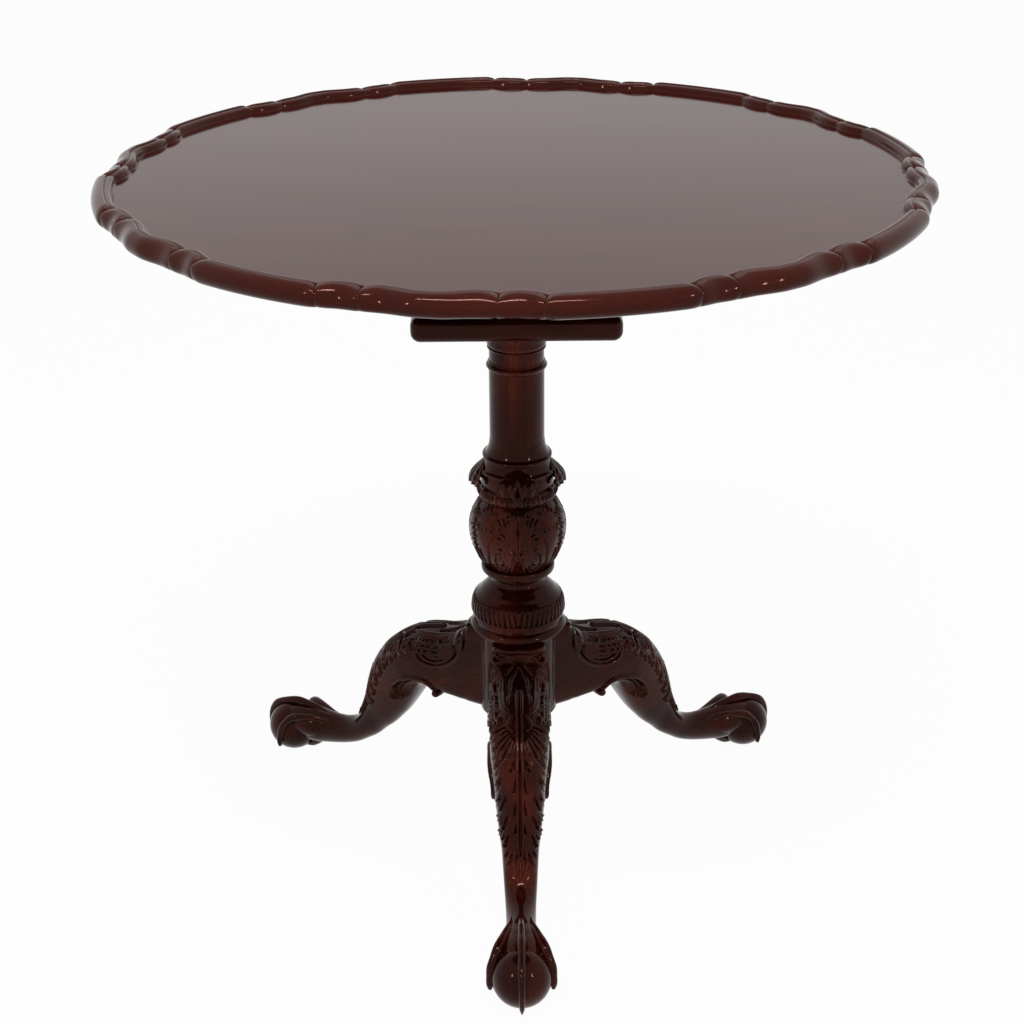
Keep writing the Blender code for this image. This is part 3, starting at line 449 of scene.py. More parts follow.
def relief(chart, strokes):
    """Height over a chart of points: the highest of the strokes."""
    height = np.zeros(len(chart))
    for path, start, end, rise, belly, vein in strokes:
        reach = max(start, end) + belly
        low, high = path.min(axis=0) - reach, path.max(axis=0) + reach
        near = np.flatnonzero(((chart > low) & (chart < high)).all(axis=1))
        if not len(near):
            continue
        spots = chart[near]
        lengths = np.linalg.norm(np.diff(path, axis=0), axis=1)
        along = np.concatenate([[0.0], np.cumsum(lengths)]) / lengths.sum()
        ratio = np.full(len(near), 9.0)
        for a, b, s0, s1 in zip(path, path[1:], along, along[1:]):
            edge = b - a
            share = np.clip(((spots - a) @ edge) / max(edge @ edge, 1e-12), 0, 1)
            gap = np.linalg.norm(spots - a - share[:, None] * edge, axis=1)
            place = s0 + (s1 - s0) * share
            width = start + (end - start) * place + belly * np.sin(math.pi * place)
            ratio = np.minimum(ratio, gap / width)
        crown = rise * np.sqrt(np.clip(1 - ratio ** 2, 0, 1)) - vein * np.exp(-(ratio / 0.25) ** 2)
        height[near] = np.maximum(height[near], np.where(ratio < 1, crown, 0))
    return height


def mirrored(strokes, flip):
    """Strokes with their images across one axis of the chart."""
    return strokes + [(path * np.array(flip), *rest) for path, *rest in strokes]


def lobe(base, tip, spread, rise, fingers=3, width=0.0022):
    """A leaf lobe: fingers that fan out from its base, with the middle one longest."""
    base, tip = np.asarray(base, dtype=float), np.asarray(tip, dtype=float)
    axis = tip - base
    across = np.array([-axis[1], axis[0]])
    made = []
    for i in range(fingers):
        lean = spread * (i - (fingers - 1) / 2)
        length = 1 - 0.16 * abs(i - (fingers - 1) / 2)
        end = base + axis * length + across * lean
        middle = base + axis * 0.5 * length + across * lean * 0.35
        made.append(stroke([base, middle, end], 0.6 * width, 0.3 * width, rise, 0.55 * width, 0.25 * rise,
                           4))
    return made


def spiral(centre, radius, start, turns, width, rise, steps=18, shrink=0.25):
    """A scroll that winds in towards its eye."""
    path = []
    for i in range(steps + 1):
        share = i / steps
        angle = start + 2 * math.pi * turns * share
        reach = radius * (1 - (1 - shrink) * share)
        path.append((centre[0] + reach * math.cos(angle), centre[1] + reach * math.sin(angle)))
    return np.array(path), width, 0.8 * width, rise, 0.0, 0.0


def grid_normals(rows):
    """Outward normals of rows of rings."""
    along = np.gradient(rows, axis=0)
    across = (np.roll(rows, -1, axis=1) - np.roll(rows, 1, axis=1)) / 2
    normals = np.cross(across, along)
    normals /= np.maximum(np.linalg.norm(normals, axis=2, keepdims=True), 1e-12)
    centres = rows.mean(axis=1, keepdims=True)
    if ((rows - centres) * normals).sum() < 0:
        normals = -normals
    return normals


# Top board

def bracket_drop(phase):
    share = abs(phase) / CUSP_ANGLE
    if share < DIP_SHARE:
        turn = max(share - BULGE_SHARE, 0) / (DIP_SHARE - BULGE_SHARE)
        return BULGE_DROP + (DIP_DROP - BULGE_DROP) * (1 - math.cos(math.pi * turn)) / 2
    rise = ((share - DIP_SHARE) / (1 - DIP_SHARE)) ** 2
    return DIP_DROP - (DIP_DROP - CUSP_DROP) * rise


def lobe_drop(phase):
    share = (phase - CUSP_ANGLE) / (CORNER_ANGLE - CUSP_ANGLE)
    return CUSP_DROP * (1 - share) + LOBE_SCOOP * math.sin(math.pi * share)


def arc_drop(phase):
    return 0.0


def inset_point(drop_at, phase, inset, depth):
    """A point of one stretch of the outline, moved square inwards."""
    step = 1e-5

    def point(angle):
        radius = RIM_RADIUS - depth * drop_at(angle)
        return np.array([radius * math.cos(angle), radius * math.sin(angle)])

    tangent = point(phase + step) - point(phase - step)
    tangent /= np.linalg.norm(tangent)
    return point(phase) + inset * np.array([-tangent[1], tangent[0]])


def mitre(first, second, phases, inset, depth):
    """The phases at which two inset stretches meet, found by Newton's method."""
    phases = np.array(phases, dtype=float)
    step = 1e-5
    for _ in range(20):
        gap = inset_point(first, phases[0], inset, depth) - inset_point(second, phases[1], inset, depth)
        if np.linalg.norm(gap) < 1e-9:
            break
        slope = np.empty((2, 2))
        slope[:, 0] = (inset_point(first, phases[0] + step, inset, depth)
                       - inset_point(first, phases[0] - step, inset, depth)) / (2 * step)
        slope[:, 1] = -(inset_point(second, phases[1] + step, inset, depth)
                        - inset_point(second, phases[1] - step, inset, depth)) / (2 * step)
        phases -= np.linalg.solve(slope, gap)
    return phases


def rim_section():
    """(inset, height) from the underside, round the nose, over the bands to the field."""
    section = [(1.5 * RIM_NOSE[0], 0.0)]
    for i in range(10):
        angle = math.radians(90 * i / 10)
        section.append((RIM_NOSE[0] * (1 - math.sin(angle)), RIM_NOSE[1] * (1 - math.cos(angle))))
    for i in range(14):
        angle = math.radians(90 * i / 13)
        section.append((RIM_CREST[0] * (1 - math.cos(angle)), RIM_NOSE[1] + RIM_CREST[1] * math.sin(angle)))
    return section + list(RIM_BANDS)


def half_group(inset, height, depth):
    """One half of a repeat: half the bracket, a lobe and half a long arc, with the nick at each point."""
    cusp = (CUSP_ANGLE, CUSP_ANGLE)
    corner = (CORNER_ANGLE, CORNER_ANGLE)
    for share in np.linspace(0, 1, 9)[1:]:
        cusp = mitre(bracket_drop, lobe_drop, cusp, inset * share, depth)
        corner = mitre(lobe_drop, arc_drop, corner, inset * share, depth)
    half_repeat = math.pi / RIM_REPEATS
    stretches = ((bracket_drop, 0.0, cusp[0], 40), (lobe_drop, cusp[1], corner[0], 28),
                 (arc_drop, corner[1], half_repeat, 40))
    nick = NICK_DEPTH * np.clip((RIM_NOSE[1] + RIM_CREST[1] - height) / RIM_CREST[1], 0, 1)
    points, nicks = [], []
    for drop_at, start, end, count in stretches:
        for i in range(count + (drop_at is arc_drop)):
            share = i / count
            even = share - math.sin(2 * math.pi * share) / (2 * math.pi)
            phase = start + (end - start) * (0.35 * share + 0.65 * even)
            near = min(abs(phase - point) for point in (*cusp, *corner))
            close = max(1 - near * RIM_RADIUS / NICK_REACH, 0)
            nicks.append(1 - math.sqrt(1 - close * close))
            points.append(inset_point(drop_at, phase, inset + nick * nicks[-1], depth))
    return np.array(points), np.array(nicks)


def make_top():
    rings = []
    crest = RIM_NOSE[1] + RIM_CREST[1]
    reached = False
    for inset, height in rim_section():
        reached = reached or height > crest - 1e-6
        share = 1.0 if reached else min(height / crest, 1.0)
        depth = LOW_SCALLOP + (1 - LOW_SCALLOP) * share * share * (3 - 2 * share)
        half, nicks = half_group(inset, crest if reached else height, depth)
        group = np.concatenate([half[1:-1][::-1] * np.array([1.0, -1.0]), half])
        if reached:
            dip = NICK_FALL * max(1 - (inset - RIM_CREST[0]) / 0.0085, 0)
        else:
            dip = NICK_FALL * max((height - RIM_NOSE[1]) / RIM_CREST[1], 0) ** 1.5
        fall = np.tile(dip * np.concatenate([nicks[1:-1][::-1], nicks]), RIM_REPEATS)
        ring = []
        for repeat in range(RIM_REPEATS):
            turn = FRONT + RIM_TURN + 2 * math.pi * repeat / RIM_REPEATS
            spin = np.array([[math.cos(turn), math.sin(turn)], [-math.sin(turn), math.cos(turn)]])
            ring.append(group @ spin)
        flat = np.concatenate(ring)
        rings.append(np.column_stack([flat, TOP_LOW + height - fall]))
    top = skin("piecrust_top", np.array(rings))
    smooth(top, 26)
    wood = mahogany("top_mahogany", shift=(0.4, 0.2, 0.0), depth=0.35, ripple=0.015, stops=TOP_STOPS)
    dress(top, wood, "top", "mahogany", "top_board")


# Legs

def leg_stations():
    """Station rows at an even spacing down the leg, and the run of its ridge."""
    rows = np.array(LEG_ROWS)
    counts = []
    for a, b in zip(rows, rows[1:]):
        span = max(np.linalg.norm(b[:2] - a[:2]), np.linalg.norm(b[2:4] - a[2:4]))
        step = LEG_STEP if b[1] > 0.07 else 1.6 * LEG_STEP
        counts.append(max(2, math.ceil(span / step)))
    stations = curve_through(rows, counts)
    ridge = np.concatenate([[0.0], np.cumsum(np.linalg.norm(np.diff(stations[:, :2], axis=0), axis=1))])
    knee = np.argmin(np.abs(stations[:, 0] - 0.074) + np.abs(stations[:, 1] - 0.2168))
    return stations, ridge - ridge[knee] + 0.036


def leg_section(station):
    """One ring of the leg and each point's distance round it from the ridge."""
    top_r, top_z, low_r, low_z, half_width, square = station
    up = np.array([top_r - low_r, 0.0, top_z - low_z]) / 2
    middle = np.array([top_r + low_r, 0.0, top_z + low_z]) / 2
    half_height = np.linalg.norm(up)
    angle = np.linspace(-math.pi, math.pi, 721)
    crown = min(square, np.interp(top_r, LEG_CROWN[0], LEG_CROWN[1]))
    power = np.where(np.abs(angle) < math.pi / 2, crown, square)
    reach = (np.abs(np.cos(angle) / half_height) ** power
             + np.abs(np.sin(angle) / half_width) ** power) ** (-1 / power)
    flat = np.column_stack([reach * np.cos(angle), reach * np.sin(angle)])
    run = np.concatenate([[0.0], np.cumsum(np.linalg.norm(np.diff(flat, axis=0), axis=1))])
    run -= run[360]
    k = np.linspace(-1, 1, LEG_ACROSS + 1)[:-1]
    wanted = np.sign(k) * np.interp(np.abs(k), (0, 0.32, 0.92, 1), (0, 0.22, 0.77, 1)) * run[-1]
    rise = np.interp(wanted, run, flat[:, 0])
    side = np.interp(wanted, run, flat[:, 1])
    ring = middle + rise[:, None] * (up / half_height) + side[:, None] * np.array([0.0, 1.0, 0.0])
    bow = np.interp(top_r, *SHOULDER_BOW)
    ring[:, 0] -= bow * (side / half_width) ** 2
    return ring, wanted


def knee_strokes():
    """Acanthus on the front of the leg: run down the ridge, then distance to the side."""
    made = []
    # moulded lip and its two scrolls under the pillar's base
    made.append(stroke([(0.004, 0.0), (0.0048, 0.012), (0.003, 0.023)], 0.003, 0.0026, 0.0022))
    made.append(spiral((0.0125, 0.0222), 0.0058, -1.6, 1.1, 0.0022, 0.0028))
    # beaded edge that rises to a point over a dark hollow
    for i in range(8):
        share = i / 7
        made.append(stroke([(0.014 + 0.02 * share, 0.0022 + 0.015 * share),
                            (0.0143 + 0.02 * share, 0.0024 + 0.015 * share)], 0.0017, 0.0017, 0.0022))
    made.append(stroke([(0.019, 0.0), (0.03, 0.005), (0.04, 0.0082), (0.052, 0.0088)],
                       0.0022, 0.0018, 0.0028))
    made += lobe((0.022, 0.012), (0.033, 0.029), 0.3, 0.0028, 3, 0.0038)
    # long strands over the crown towards the sides
    for t in (0.0265, 0.0315, 0.0365):
        made.append(stroke([(0.033, t + 0.0015), (0.05, t + 0.001), (0.066, t), (0.08, t - 0.0015)], 0.0022,
                           0.0015, 0.0028, 0.0004))
    # broad smooth panels and the stems that run to the scrolled ears
    made.append(stroke([(0.034, 0.0165), (0.05, 0.0172), (0.068, 0.016), (0.082, 0.011)], 0.004, 0.0024,
                       0.003, 0.002, 0.0008))
    made.append(spiral((0.09, 0.0275), 0.0078, -2.4, 1.3, 0.0027, 0.004))
    made.append(stroke([(0.1, 0.033), (0.106, 0.0265), (0.105, 0.019)], 0.0034, 0.002, 0.0032))
    made.append(stroke([(0.087, 0.007), (0.097, 0.011), (0.103, 0.007)], 0.0026, 0.0018, 0.003))
    # fan of flutes round the middle of the knee
    for i in range(8):
        angle = math.radians(6 + 12.4 * i)
        inner = (0.097 + 0.019 * math.cos(angle), 0.0125 * math.sin(angle))
        outer = (0.097 + 0.04 * math.cos(angle), 0.027 * math.sin(angle))
        made.append(stroke([inner, outer], 0.0016, 0.0025, 0.0034, 0.0004))
    # leaf pairs down the shin, each with an eye at its root
    for base, tip, spread, width in (
            ((0.129, 0.006), (0.148, 0.026), 0.3, 0.0042), ((0.143, 0.005), (0.174, 0.0225), 0.28, 0.0042),
            ((0.165, 0.0045), (0.193, 0.0205), 0.28, 0.0038),
            ((0.187, 0.004), (0.212, 0.0185), 0.28, 0.0035),
            ((0.205, 0.0036), (0.23, 0.0125), 0.26, 0.003)):
        made += lobe(base, tip, spread, 0.003, 3, width)
        made.append(stroke([(tip[0] - 0.001, tip[1] - 0.0006), tip], 0.0026, 0.0026, 0.0034))
        made.append(stroke([(base[0] + 0.002, base[1] + 0.0045), (base[0] + 0.0024, base[1] + 0.0047)],
                           0.0022, 0.0022, 0.0032))
    # double rib down the middle and the fluted end of the leaf
    made.append(stroke([(0.054, 0.0018), (0.09, 0.0023), (0.15, 0.0024), (0.21, 0.0022), (0.234, 0.0014)],
                       0.0022, 0.0014, 0.0034))
    made.append(stroke([(0.218, 0.0058), (0.235, 0.0062), (0.245, 0.004)], 0.002, 0.0013, 0.0022))
    made = mirrored(made, (1.0, -1.0))
    made.append(stroke([(0.23, 0.0), (0.24, 0.0), (0.248, 0.0)], 0.0018, 0.001, 0.0022))
    return made


def side_strokes():
    """Knee scroll, strands of leaf and arch bead on a flat side: reach, then height."""
    made = []
    # nested strands of the big C scroll, from the outermost in
    for path in (
            [(0.05, 0.223), (0.0515, 0.211), (0.059, 0.1965), (0.0706, 0.1858), (0.087, 0.1797),
             (0.1007, 0.1806),
             (0.1085, 0.185), (0.1125, 0.193)],
            [(0.062, 0.2013), (0.0711, 0.1906), (0.0866, 0.1841), (0.1005, 0.1866),
             (0.1084, 0.1935), (0.109, 0.203)],
            [(0.0618, 0.2045), (0.0725, 0.1942), (0.088, 0.1885), (0.1005, 0.1922),
             (0.1052, 0.1985), (0.1045, 0.2045)],
            [(0.064, 0.2062), (0.075, 0.1975), (0.0885, 0.193), (0.0975, 0.1968), (0.1005, 0.202)],
            [(0.0672, 0.2072), (0.078, 0.2002), (0.088, 0.1976), (0.0945, 0.2018)]):
        made.append(stroke(path, 0.0021, 0.0019, 0.0029))
    # S-shaped flame above them
    made.append(stroke([(0.0585, 0.215), (0.064, 0.2095), (0.073, 0.2045), (0.08, 0.2035), (0.086, 0.2062),
                        (0.093, 0.2096), (0.102, 0.208), (0.1095, 0.2025)], 0.0018, 0.002, 0.0032))
    # fan with a stepped edge at the shoulder
    for i in range(5):
        tip = (0.058 + 0.0068 * i, 0.216 - 0.0012 * i)
        made.append(stroke([(0.057 + 0.004 * i, 0.233 - 0.0016 * i),
                            (0.0572 + 0.0052 * i, 0.224 - 0.0014 * i), tip],
                           0.0016, 0.0022, 0.0024))
    # leaf edge that steps down the outside of the shin
    for r, z, size in (
            (0.12, 0.193, 1.2), (0.1345, 0.1825, 1.25), (0.147, 0.172, 1.1), (0.1575, 0.1595, 1.0),
            (0.165, 0.146, 0.85), (0.17, 0.132, 0.75), (0.1745, 0.118, 0.7), (0.1785, 0.104, 0.65)):
        made += lobe((r + 0.006 * size, z + 0.009 * size), (r - 0.004 * size, z - 0.005 * size),
                     0.42, 0.0024, 3, 0.003 * size)
    # arch bead, with its curled end
    made.append(stroke([(0.088, 0.1495), (0.0936, 0.1548), (0.1055, 0.158), (0.119, 0.1558),
                        (0.1313, 0.1497),
                        (0.141, 0.14), (0.1456, 0.1308), (0.145, 0.1235), (0.14, 0.1205)], 0.0025, 0.0014,
                       0.0036))
    return made


def leg_body():
    stations, ridge = leg_stations()
    rings, charts = [], []
    for station, run in zip(stations, ridge):
        ring, across = leg_section(station)
        rings.append(ring)
        charts.append(np.column_stack([np.full(LEG_ACROSS, run), across]))
    rows = np.array(rings)
    normals = grid_normals(rows)
    shape = rows.shape[:2]
    front = relief(np.concatenate(charts), knee_strokes()).reshape(shape)
    sideness = np.clip((np.abs(normals[:, :, 1]) - 0.55) / 0.3, 0, 1)
    flat = rows[:, :, [0, 2]].reshape(-1, 2)
    side = relief(flat, side_strokes()).reshape(shape) * sideness
    along = 0.86 * (rows[:, :, 0] - 0.127) - 0.51 * (rows[:, :, 2] - 0.1385)
    across = 0.51 * (rows[:, :, 0] - 0.127) + 0.86 * (rows[:, :, 2] - 0.1385)
    hollow_gap = np.hypot(along / 0.0215, across / 0.011)
    hollow = 0.0042 * np.clip(1 - hollow_gap ** 2, 0, 1) * sideness
    inner = [stroke([(0.106, 0.153), (0.118, 0.1512), (0.129, 0.1452), (0.1365, 0.1365), (0.1385, 0.1295),
                     (0.135, 0.1262)], 0.0016, 0.0044, 0.0042)]
    hollow += relief(flat, inner).reshape(shape) * sideness
    height = np.maximum(front, side) - hollow
    rows = rows + normals * height[:, :, None]
    return skin("leg_body", rows)


def toe(name, path, side=1.0, around=20, steps=7):
    """A bony toe and its claw along a path of places and radii."""
    spine = curve_through(np.array(path) * np.array([1, side, 1, 1]), steps)
    places, radii = spine[:, :3], spine[:, 3]
    forward = np.gradient(places, axis=0)
    forward /= np.linalg.norm(forward, axis=1, keepdims=True)
    away = places - np.array(BALL_PLACE)
    away -= (away * forward).sum(axis=1, keepdims=True) * forward
    away /= np.linalg.norm(away, axis=1, keepdims=True)
    across = np.cross(forward, away)
    angle = np.linspace(0, 2 * math.pi, around, endpoint=False)
    keel = 1 + 0.16 * np.cos(angle) ** 3
    rows = (places[:, None] + (radii[:, None] * keel * np.cos(angle))[:, :, None] * away[:, None]
            + 0.92 * (radii[:, None] * np.sin(angle))[:, :, None] * across[:, None])
    return skin(name, rows)


def ball(name, place, radii):
    deselect()
    bpy.ops.mesh.primitive_uv_sphere_add(segments=64, ring_count=40, radius=1.0)
    obj = bpy.context.object
    obj.name = name
    points = points_of(obj) * np.array(radii) + np.array(place)
    points[:, 2] = np.maximum(points[:, 2], 0.0)
    move_points(obj, points)
    close_up(obj)
    return obj


def volute(name, reach, height, radius, half_width):
    """The small roll under the knee, round at both ends."""
    rows = []
    for i in range(19):
        angle = math.pi * i / 18 - math.pi / 2
        side = half_width * math.copysign(abs(math.sin(angle)) ** 0.6, math.sin(angle))
        size = radius * max(math.cos(angle), 0.02) ** 0.45
        ring = [(reach + size * math.cos(a), side, height + size * math.sin(a))
                for a in np.linspace(0, 2 * math.pi, 28, endpoint=False)]
        rows.append(ring)
    return skin(name, np.array(rows))


def make_legs():
    leg = leg_body()
    tools = [
        ball("ball", BALL_PLACE, (BALL_RADIUS,) * 3),
        ball("hood", HOOD_PLACE, HOOD_RADII),
        toe("front_toe", FRONT_TOE),
        toe("left_toe", SIDE_TOE),
        toe("right_toe", SIDE_TOE, -1.0),
        toe("rear_toe", REAR_TOE),
        volute("volute", 0.0875, 0.144, 0.0056, 0.03),
    ]
    combine(leg, "UNION", *tools)
    close_up(leg, holes=False)
    for index, name in enumerate(("front", "left", "right")):
        angle = FRONT - 2 * math.pi * index / 3
        copy = copy_of(leg, f"carved_leg_{name}", Matrix.Rotation(angle, 4, "Z"))
        smooth(copy, 50)
        finish = mahogany(f"leg_mahogany_{name}", turn=(0, math.radians(38), -angle), carved=True)
        dress(copy, finish, "base", "mahogany", f"leg_{name}")
    bpy.data.objects.remove(leg)


# Pillar

HUB_RADIUS = 0.0400
HUB_TOP = 0.2355
# Mouldings from the hub up: height, lower radius, upper radius, swell, points
FOOT_MOULDINGS = (
    (0.0020, 0.0420, 0.0430, 0.0000, 2),
    (0.0130, 0.0440, 0.0440, 0.0050, 18),
    (0.0010, 0.0445, 0.0462, 0.0000, 2),
    (0.0078, 0.0465, 0.0465, 0.0003, 4),
    (0.0010, 0.0463, 0.0455, 0.0000, 2),
)
NECK_PROFILE = (
    (0.0474, 0.2608), (0.0476, 0.2635), (0.0474, 0.2660), (0.0467, 0.2715), (0.0446, 0.2768),
    (0.0436, 0.2774), (0.0438, 0.2782), (0.0428, 0.2790), (0.0410, 0.2808), (0.0393, 0.2825),
    (0.0367, 0.2855), (0.0337, 0.2885), (0.0307, 0.2915), (0.0281, 0.2935), (0.0268, 0.2960),
    (0.0269, 0.2985), (0.0287, 0.3005), (0.0316, 0.3030), (0.0346, 0.3055), (0.0366, 0.3068),
    (0.0373, 0.3084), (0.0374, 0.3105), (0.0371, 0.3125), (0.0362, 0.3140),
)
BALL_LOW = 0.3145
BALL_MIDDLE = 0.3545
BALL_HIGH = 0.3890
BALL_RADII = (0.0481, 0.0560, 0.0500)      # round the middle, and half heights below and above it
COLLAR_PROFILE = (
    (0.0348, 0.3880), (0.0374, 0.3895), (0.0392, 0.3925), (0.0399, 0.3955), (0.0398, 0.3985),
    (0.0388, 0.4012), (0.0370, 0.4030), (0.0366, 0.4060), (0.0366, 0.4120), (0.0360, 0.4165),
    (0.0368, 0.4172), (0.0378, 0.4180), (0.0380, 0.4194), (0.0374, 0.4206), (0.0352, 0.4212),
    (0.0340, 0.4240), (0.0330, 0.4275), (0.0326, 0.4305), (0.0334, 0.4312), (0.0343, 0.4322),
    (0.0345, 0.4336), (0.0339, 0.4348), (0.0318, 0.4356), (0.0303, 0.4380), (0.0290, 0.4412),
    (0.0280, 0.4450), (0.0273, 0.4500),
)
SHAFT_RADIUS = 0.0271
SHAFT_RINGS = (0.4490, 0.4520, 0.4700, 0.4950, 0.5228)
CAPITAL_LOW = 0.5230
CAPITAL_RADIUS = 0.0385
STEM_RADII = (0.0195, 0.0150)       # through the plate, and its end above
STEM_STEP = 0.0380                  # height of the step over the plate
STEM_BORE = 0.0198
CAPITAL_MOULDINGS = (
    (0.0012, 0.0276, 0.0278, 0.0000, 2),
    (0.0070, 0.0274, 0.0274, 0.0024, 12),
    (0.0012, 0.0278, 0.0276, 0.0000, 2),
    (0.0130, 0.0268, 0.0268, 0.0000, 3),
    (0.0020, 0.0280, 0.0282, 0.0006, 5),
    (0.0030, 0.0276, 0.0290, 0.0000, 3),
    (0.0200, 0.0290, 0.0370, -0.0024, 14),
    (0.0123, 0.0385, 0.0385, 0.0000, 2),
)


def stacked(mouldings, height):
    """(radius, height) up a stack of mouldings."""
    points = []
    for rise, low, high, swell, count in mouldings:
        for i in range(count + 1):
            share = i / count
            radius = low + (high - low) * share + swell * math.sin(math.pi * share)
            points.append((radius, height + rise * share))
        height += rise
    return points


def closed_profile(points):
    """An outline from the axis out, up the points and back to the axis."""
    return [(0.0, points[0][1])] + list(points) + [(0.0, points[-1][1])]


def carve_turned(obj, strokes, repeats, radius, sink, low, high, mirror_halves=False):
    """Lay strokes round a turned piece: distance round from the middle of each repeat, then height."""
    points = points_of(obj)
    angle = np.arctan2(points[:, 1], points[:, 0]) - FRONT
    width = 2 * math.pi / repeats
    if mirror_halves:
        angle = np.abs((angle + math.pi) % (2 * math.pi) - math.pi)
    angle = (angle + width / 2) % width - width / 2
    chart = np.column_stack([angle * radius, points[:, 2]])
    raised = relief(chart, strokes)
    reach = np.hypot(points[:, 0], points[:, 1])
    inside = (points[:, 2] > low) & (points[:, 2] < high) & (reach > 0.5 * radius)
    grown = np.where(inside, (reach + raised - sink) / np.maximum(reach, 1e-9), 1.0)
    points[:, :2] *= grown[:, None]
    move_points(obj, points)


def ball_strokes():
    """Acanthus on the pillar's ball, for one of its four faces."""
    made = []
    for base, tip, spread, width in (
            ((0.003, 0.334), (0.017, 0.329), 0.3, 0.003), ((0.003, 0.34), (0.0225, 0.344), 0.28, 0.0034),
            ((0.0025, 0.35), (0.0215, 0.362), 0.28, 0.0034),
            ((0.0025, 0.361), (0.0165, 0.377), 0.28, 0.003),
            ((0.002, 0.37), (0.0075, 0.387), 0.24, 0.0026)):
        made += lobe(base, tip, spread, 0.0024, 4, width)
        made.append(stroke([(base[0] + 0.004, base[1] + 0.002), (base[0] + 0.0044, base[1] + 0.0022)],
                           0.0017, 0.0017, 0.0028))
    made.append(stroke([(0.0012, 0.34), (0.005, 0.327), (0.0085, 0.3165)],
                       0.0018, 0.0024, 0.0026, 0.0, 0.0006))
    made.append(spiral((0.0165, 0.3215), 0.005, 0.8, 1.2, 0.0017, 0.0026))
    made.append(stroke([(0.024, 0.317), (0.0275, 0.329), (0.025, 0.338)], 0.0022, 0.0012, 0.0022))
    # fine lines that spread over the top of the face
    for i in range(5):
        made.append(stroke([(0.0022 + 0.0004 * i, 0.356 - 0.001 * i),
                            (0.0034 + 0.0022 * i, 0.369 - 0.0012 * i),
                            (0.0046 + 0.0046 * i, 0.383 - 0.0018 * i)], 0.001, 0.0014, 0.0022))
    # tall leaf between the faces
    made += lobe((0.0373, 0.325), (0.0345, 0.356), 0.1, 0.0022, 2, 0.003)
    made += lobe((0.0373, 0.342), (0.03, 0.373), 0.2, 0.0022, 3, 0.003)
    made += lobe((0.0373, 0.365), (0.03, 0.387), 0.24, 0.0022, 3, 0.0028)
    made = mirrored(made, (-1.0, 1.0))
    made.append(stroke([(0.0, 0.336), (0.0, 0.3515), (0.0, 0.386)], 0.0026, 0.0012, 0.003, 0.0, 0.0012))
    return made


def hanging_leaf():
    """A broad leaf that droops from the pillar's collar, cut square at its tip."""
    centre = curve_through([(0.033, 0.429), (0.0372, 0.424), (0.0425, 0.4185),
                            (0.046, 0.4135), (0.0476, 0.4085), (0.0478, 0.405)], 9)
    widths = curve_through([(0.0075, 0.0), (0.014, 0.0), (0.0195, 0.0), (0.0222, 0.0), (0.0215, 0.0),
                            (0.0165, 0.0)], 9)[:, 0]
    around = np.linspace(0, 2 * math.pi, 112, endpoint=False)
    across = np.sign(np.cos(around)) * np.abs(np.cos(around)) ** 0.8
    skins = 0.0015 * np.sign(np.sin(around)) * np.abs(np.sin(around)) ** 0.4
    rows = []
    for k, ((reach, height), half) in enumerate(zip(centre, widths)):
        share = k / (len(centre) - 1)
        scallop = 1 + 0.07 * math.cos(share * 9 * math.pi)
        curl = 0.0015 * np.cos(across * 5 * math.pi) * share * (1 - 0.5 * np.abs(across))
        groove = 0.0024 * np.exp(-(across / 0.08) ** 2) * share
        r = reach - (0.001 + 0.0022 * share) * across ** 2 - curl - groove - 0.0015 + skins
        turn = across * half * scallop / 0.044
        drop = 0.002 * across ** 2 * share
        rows.append(np.column_stack([r * np.cos(turn), r * np.sin(turn), height - drop]))
    return skin("hanging_leaf", np.array(rows))


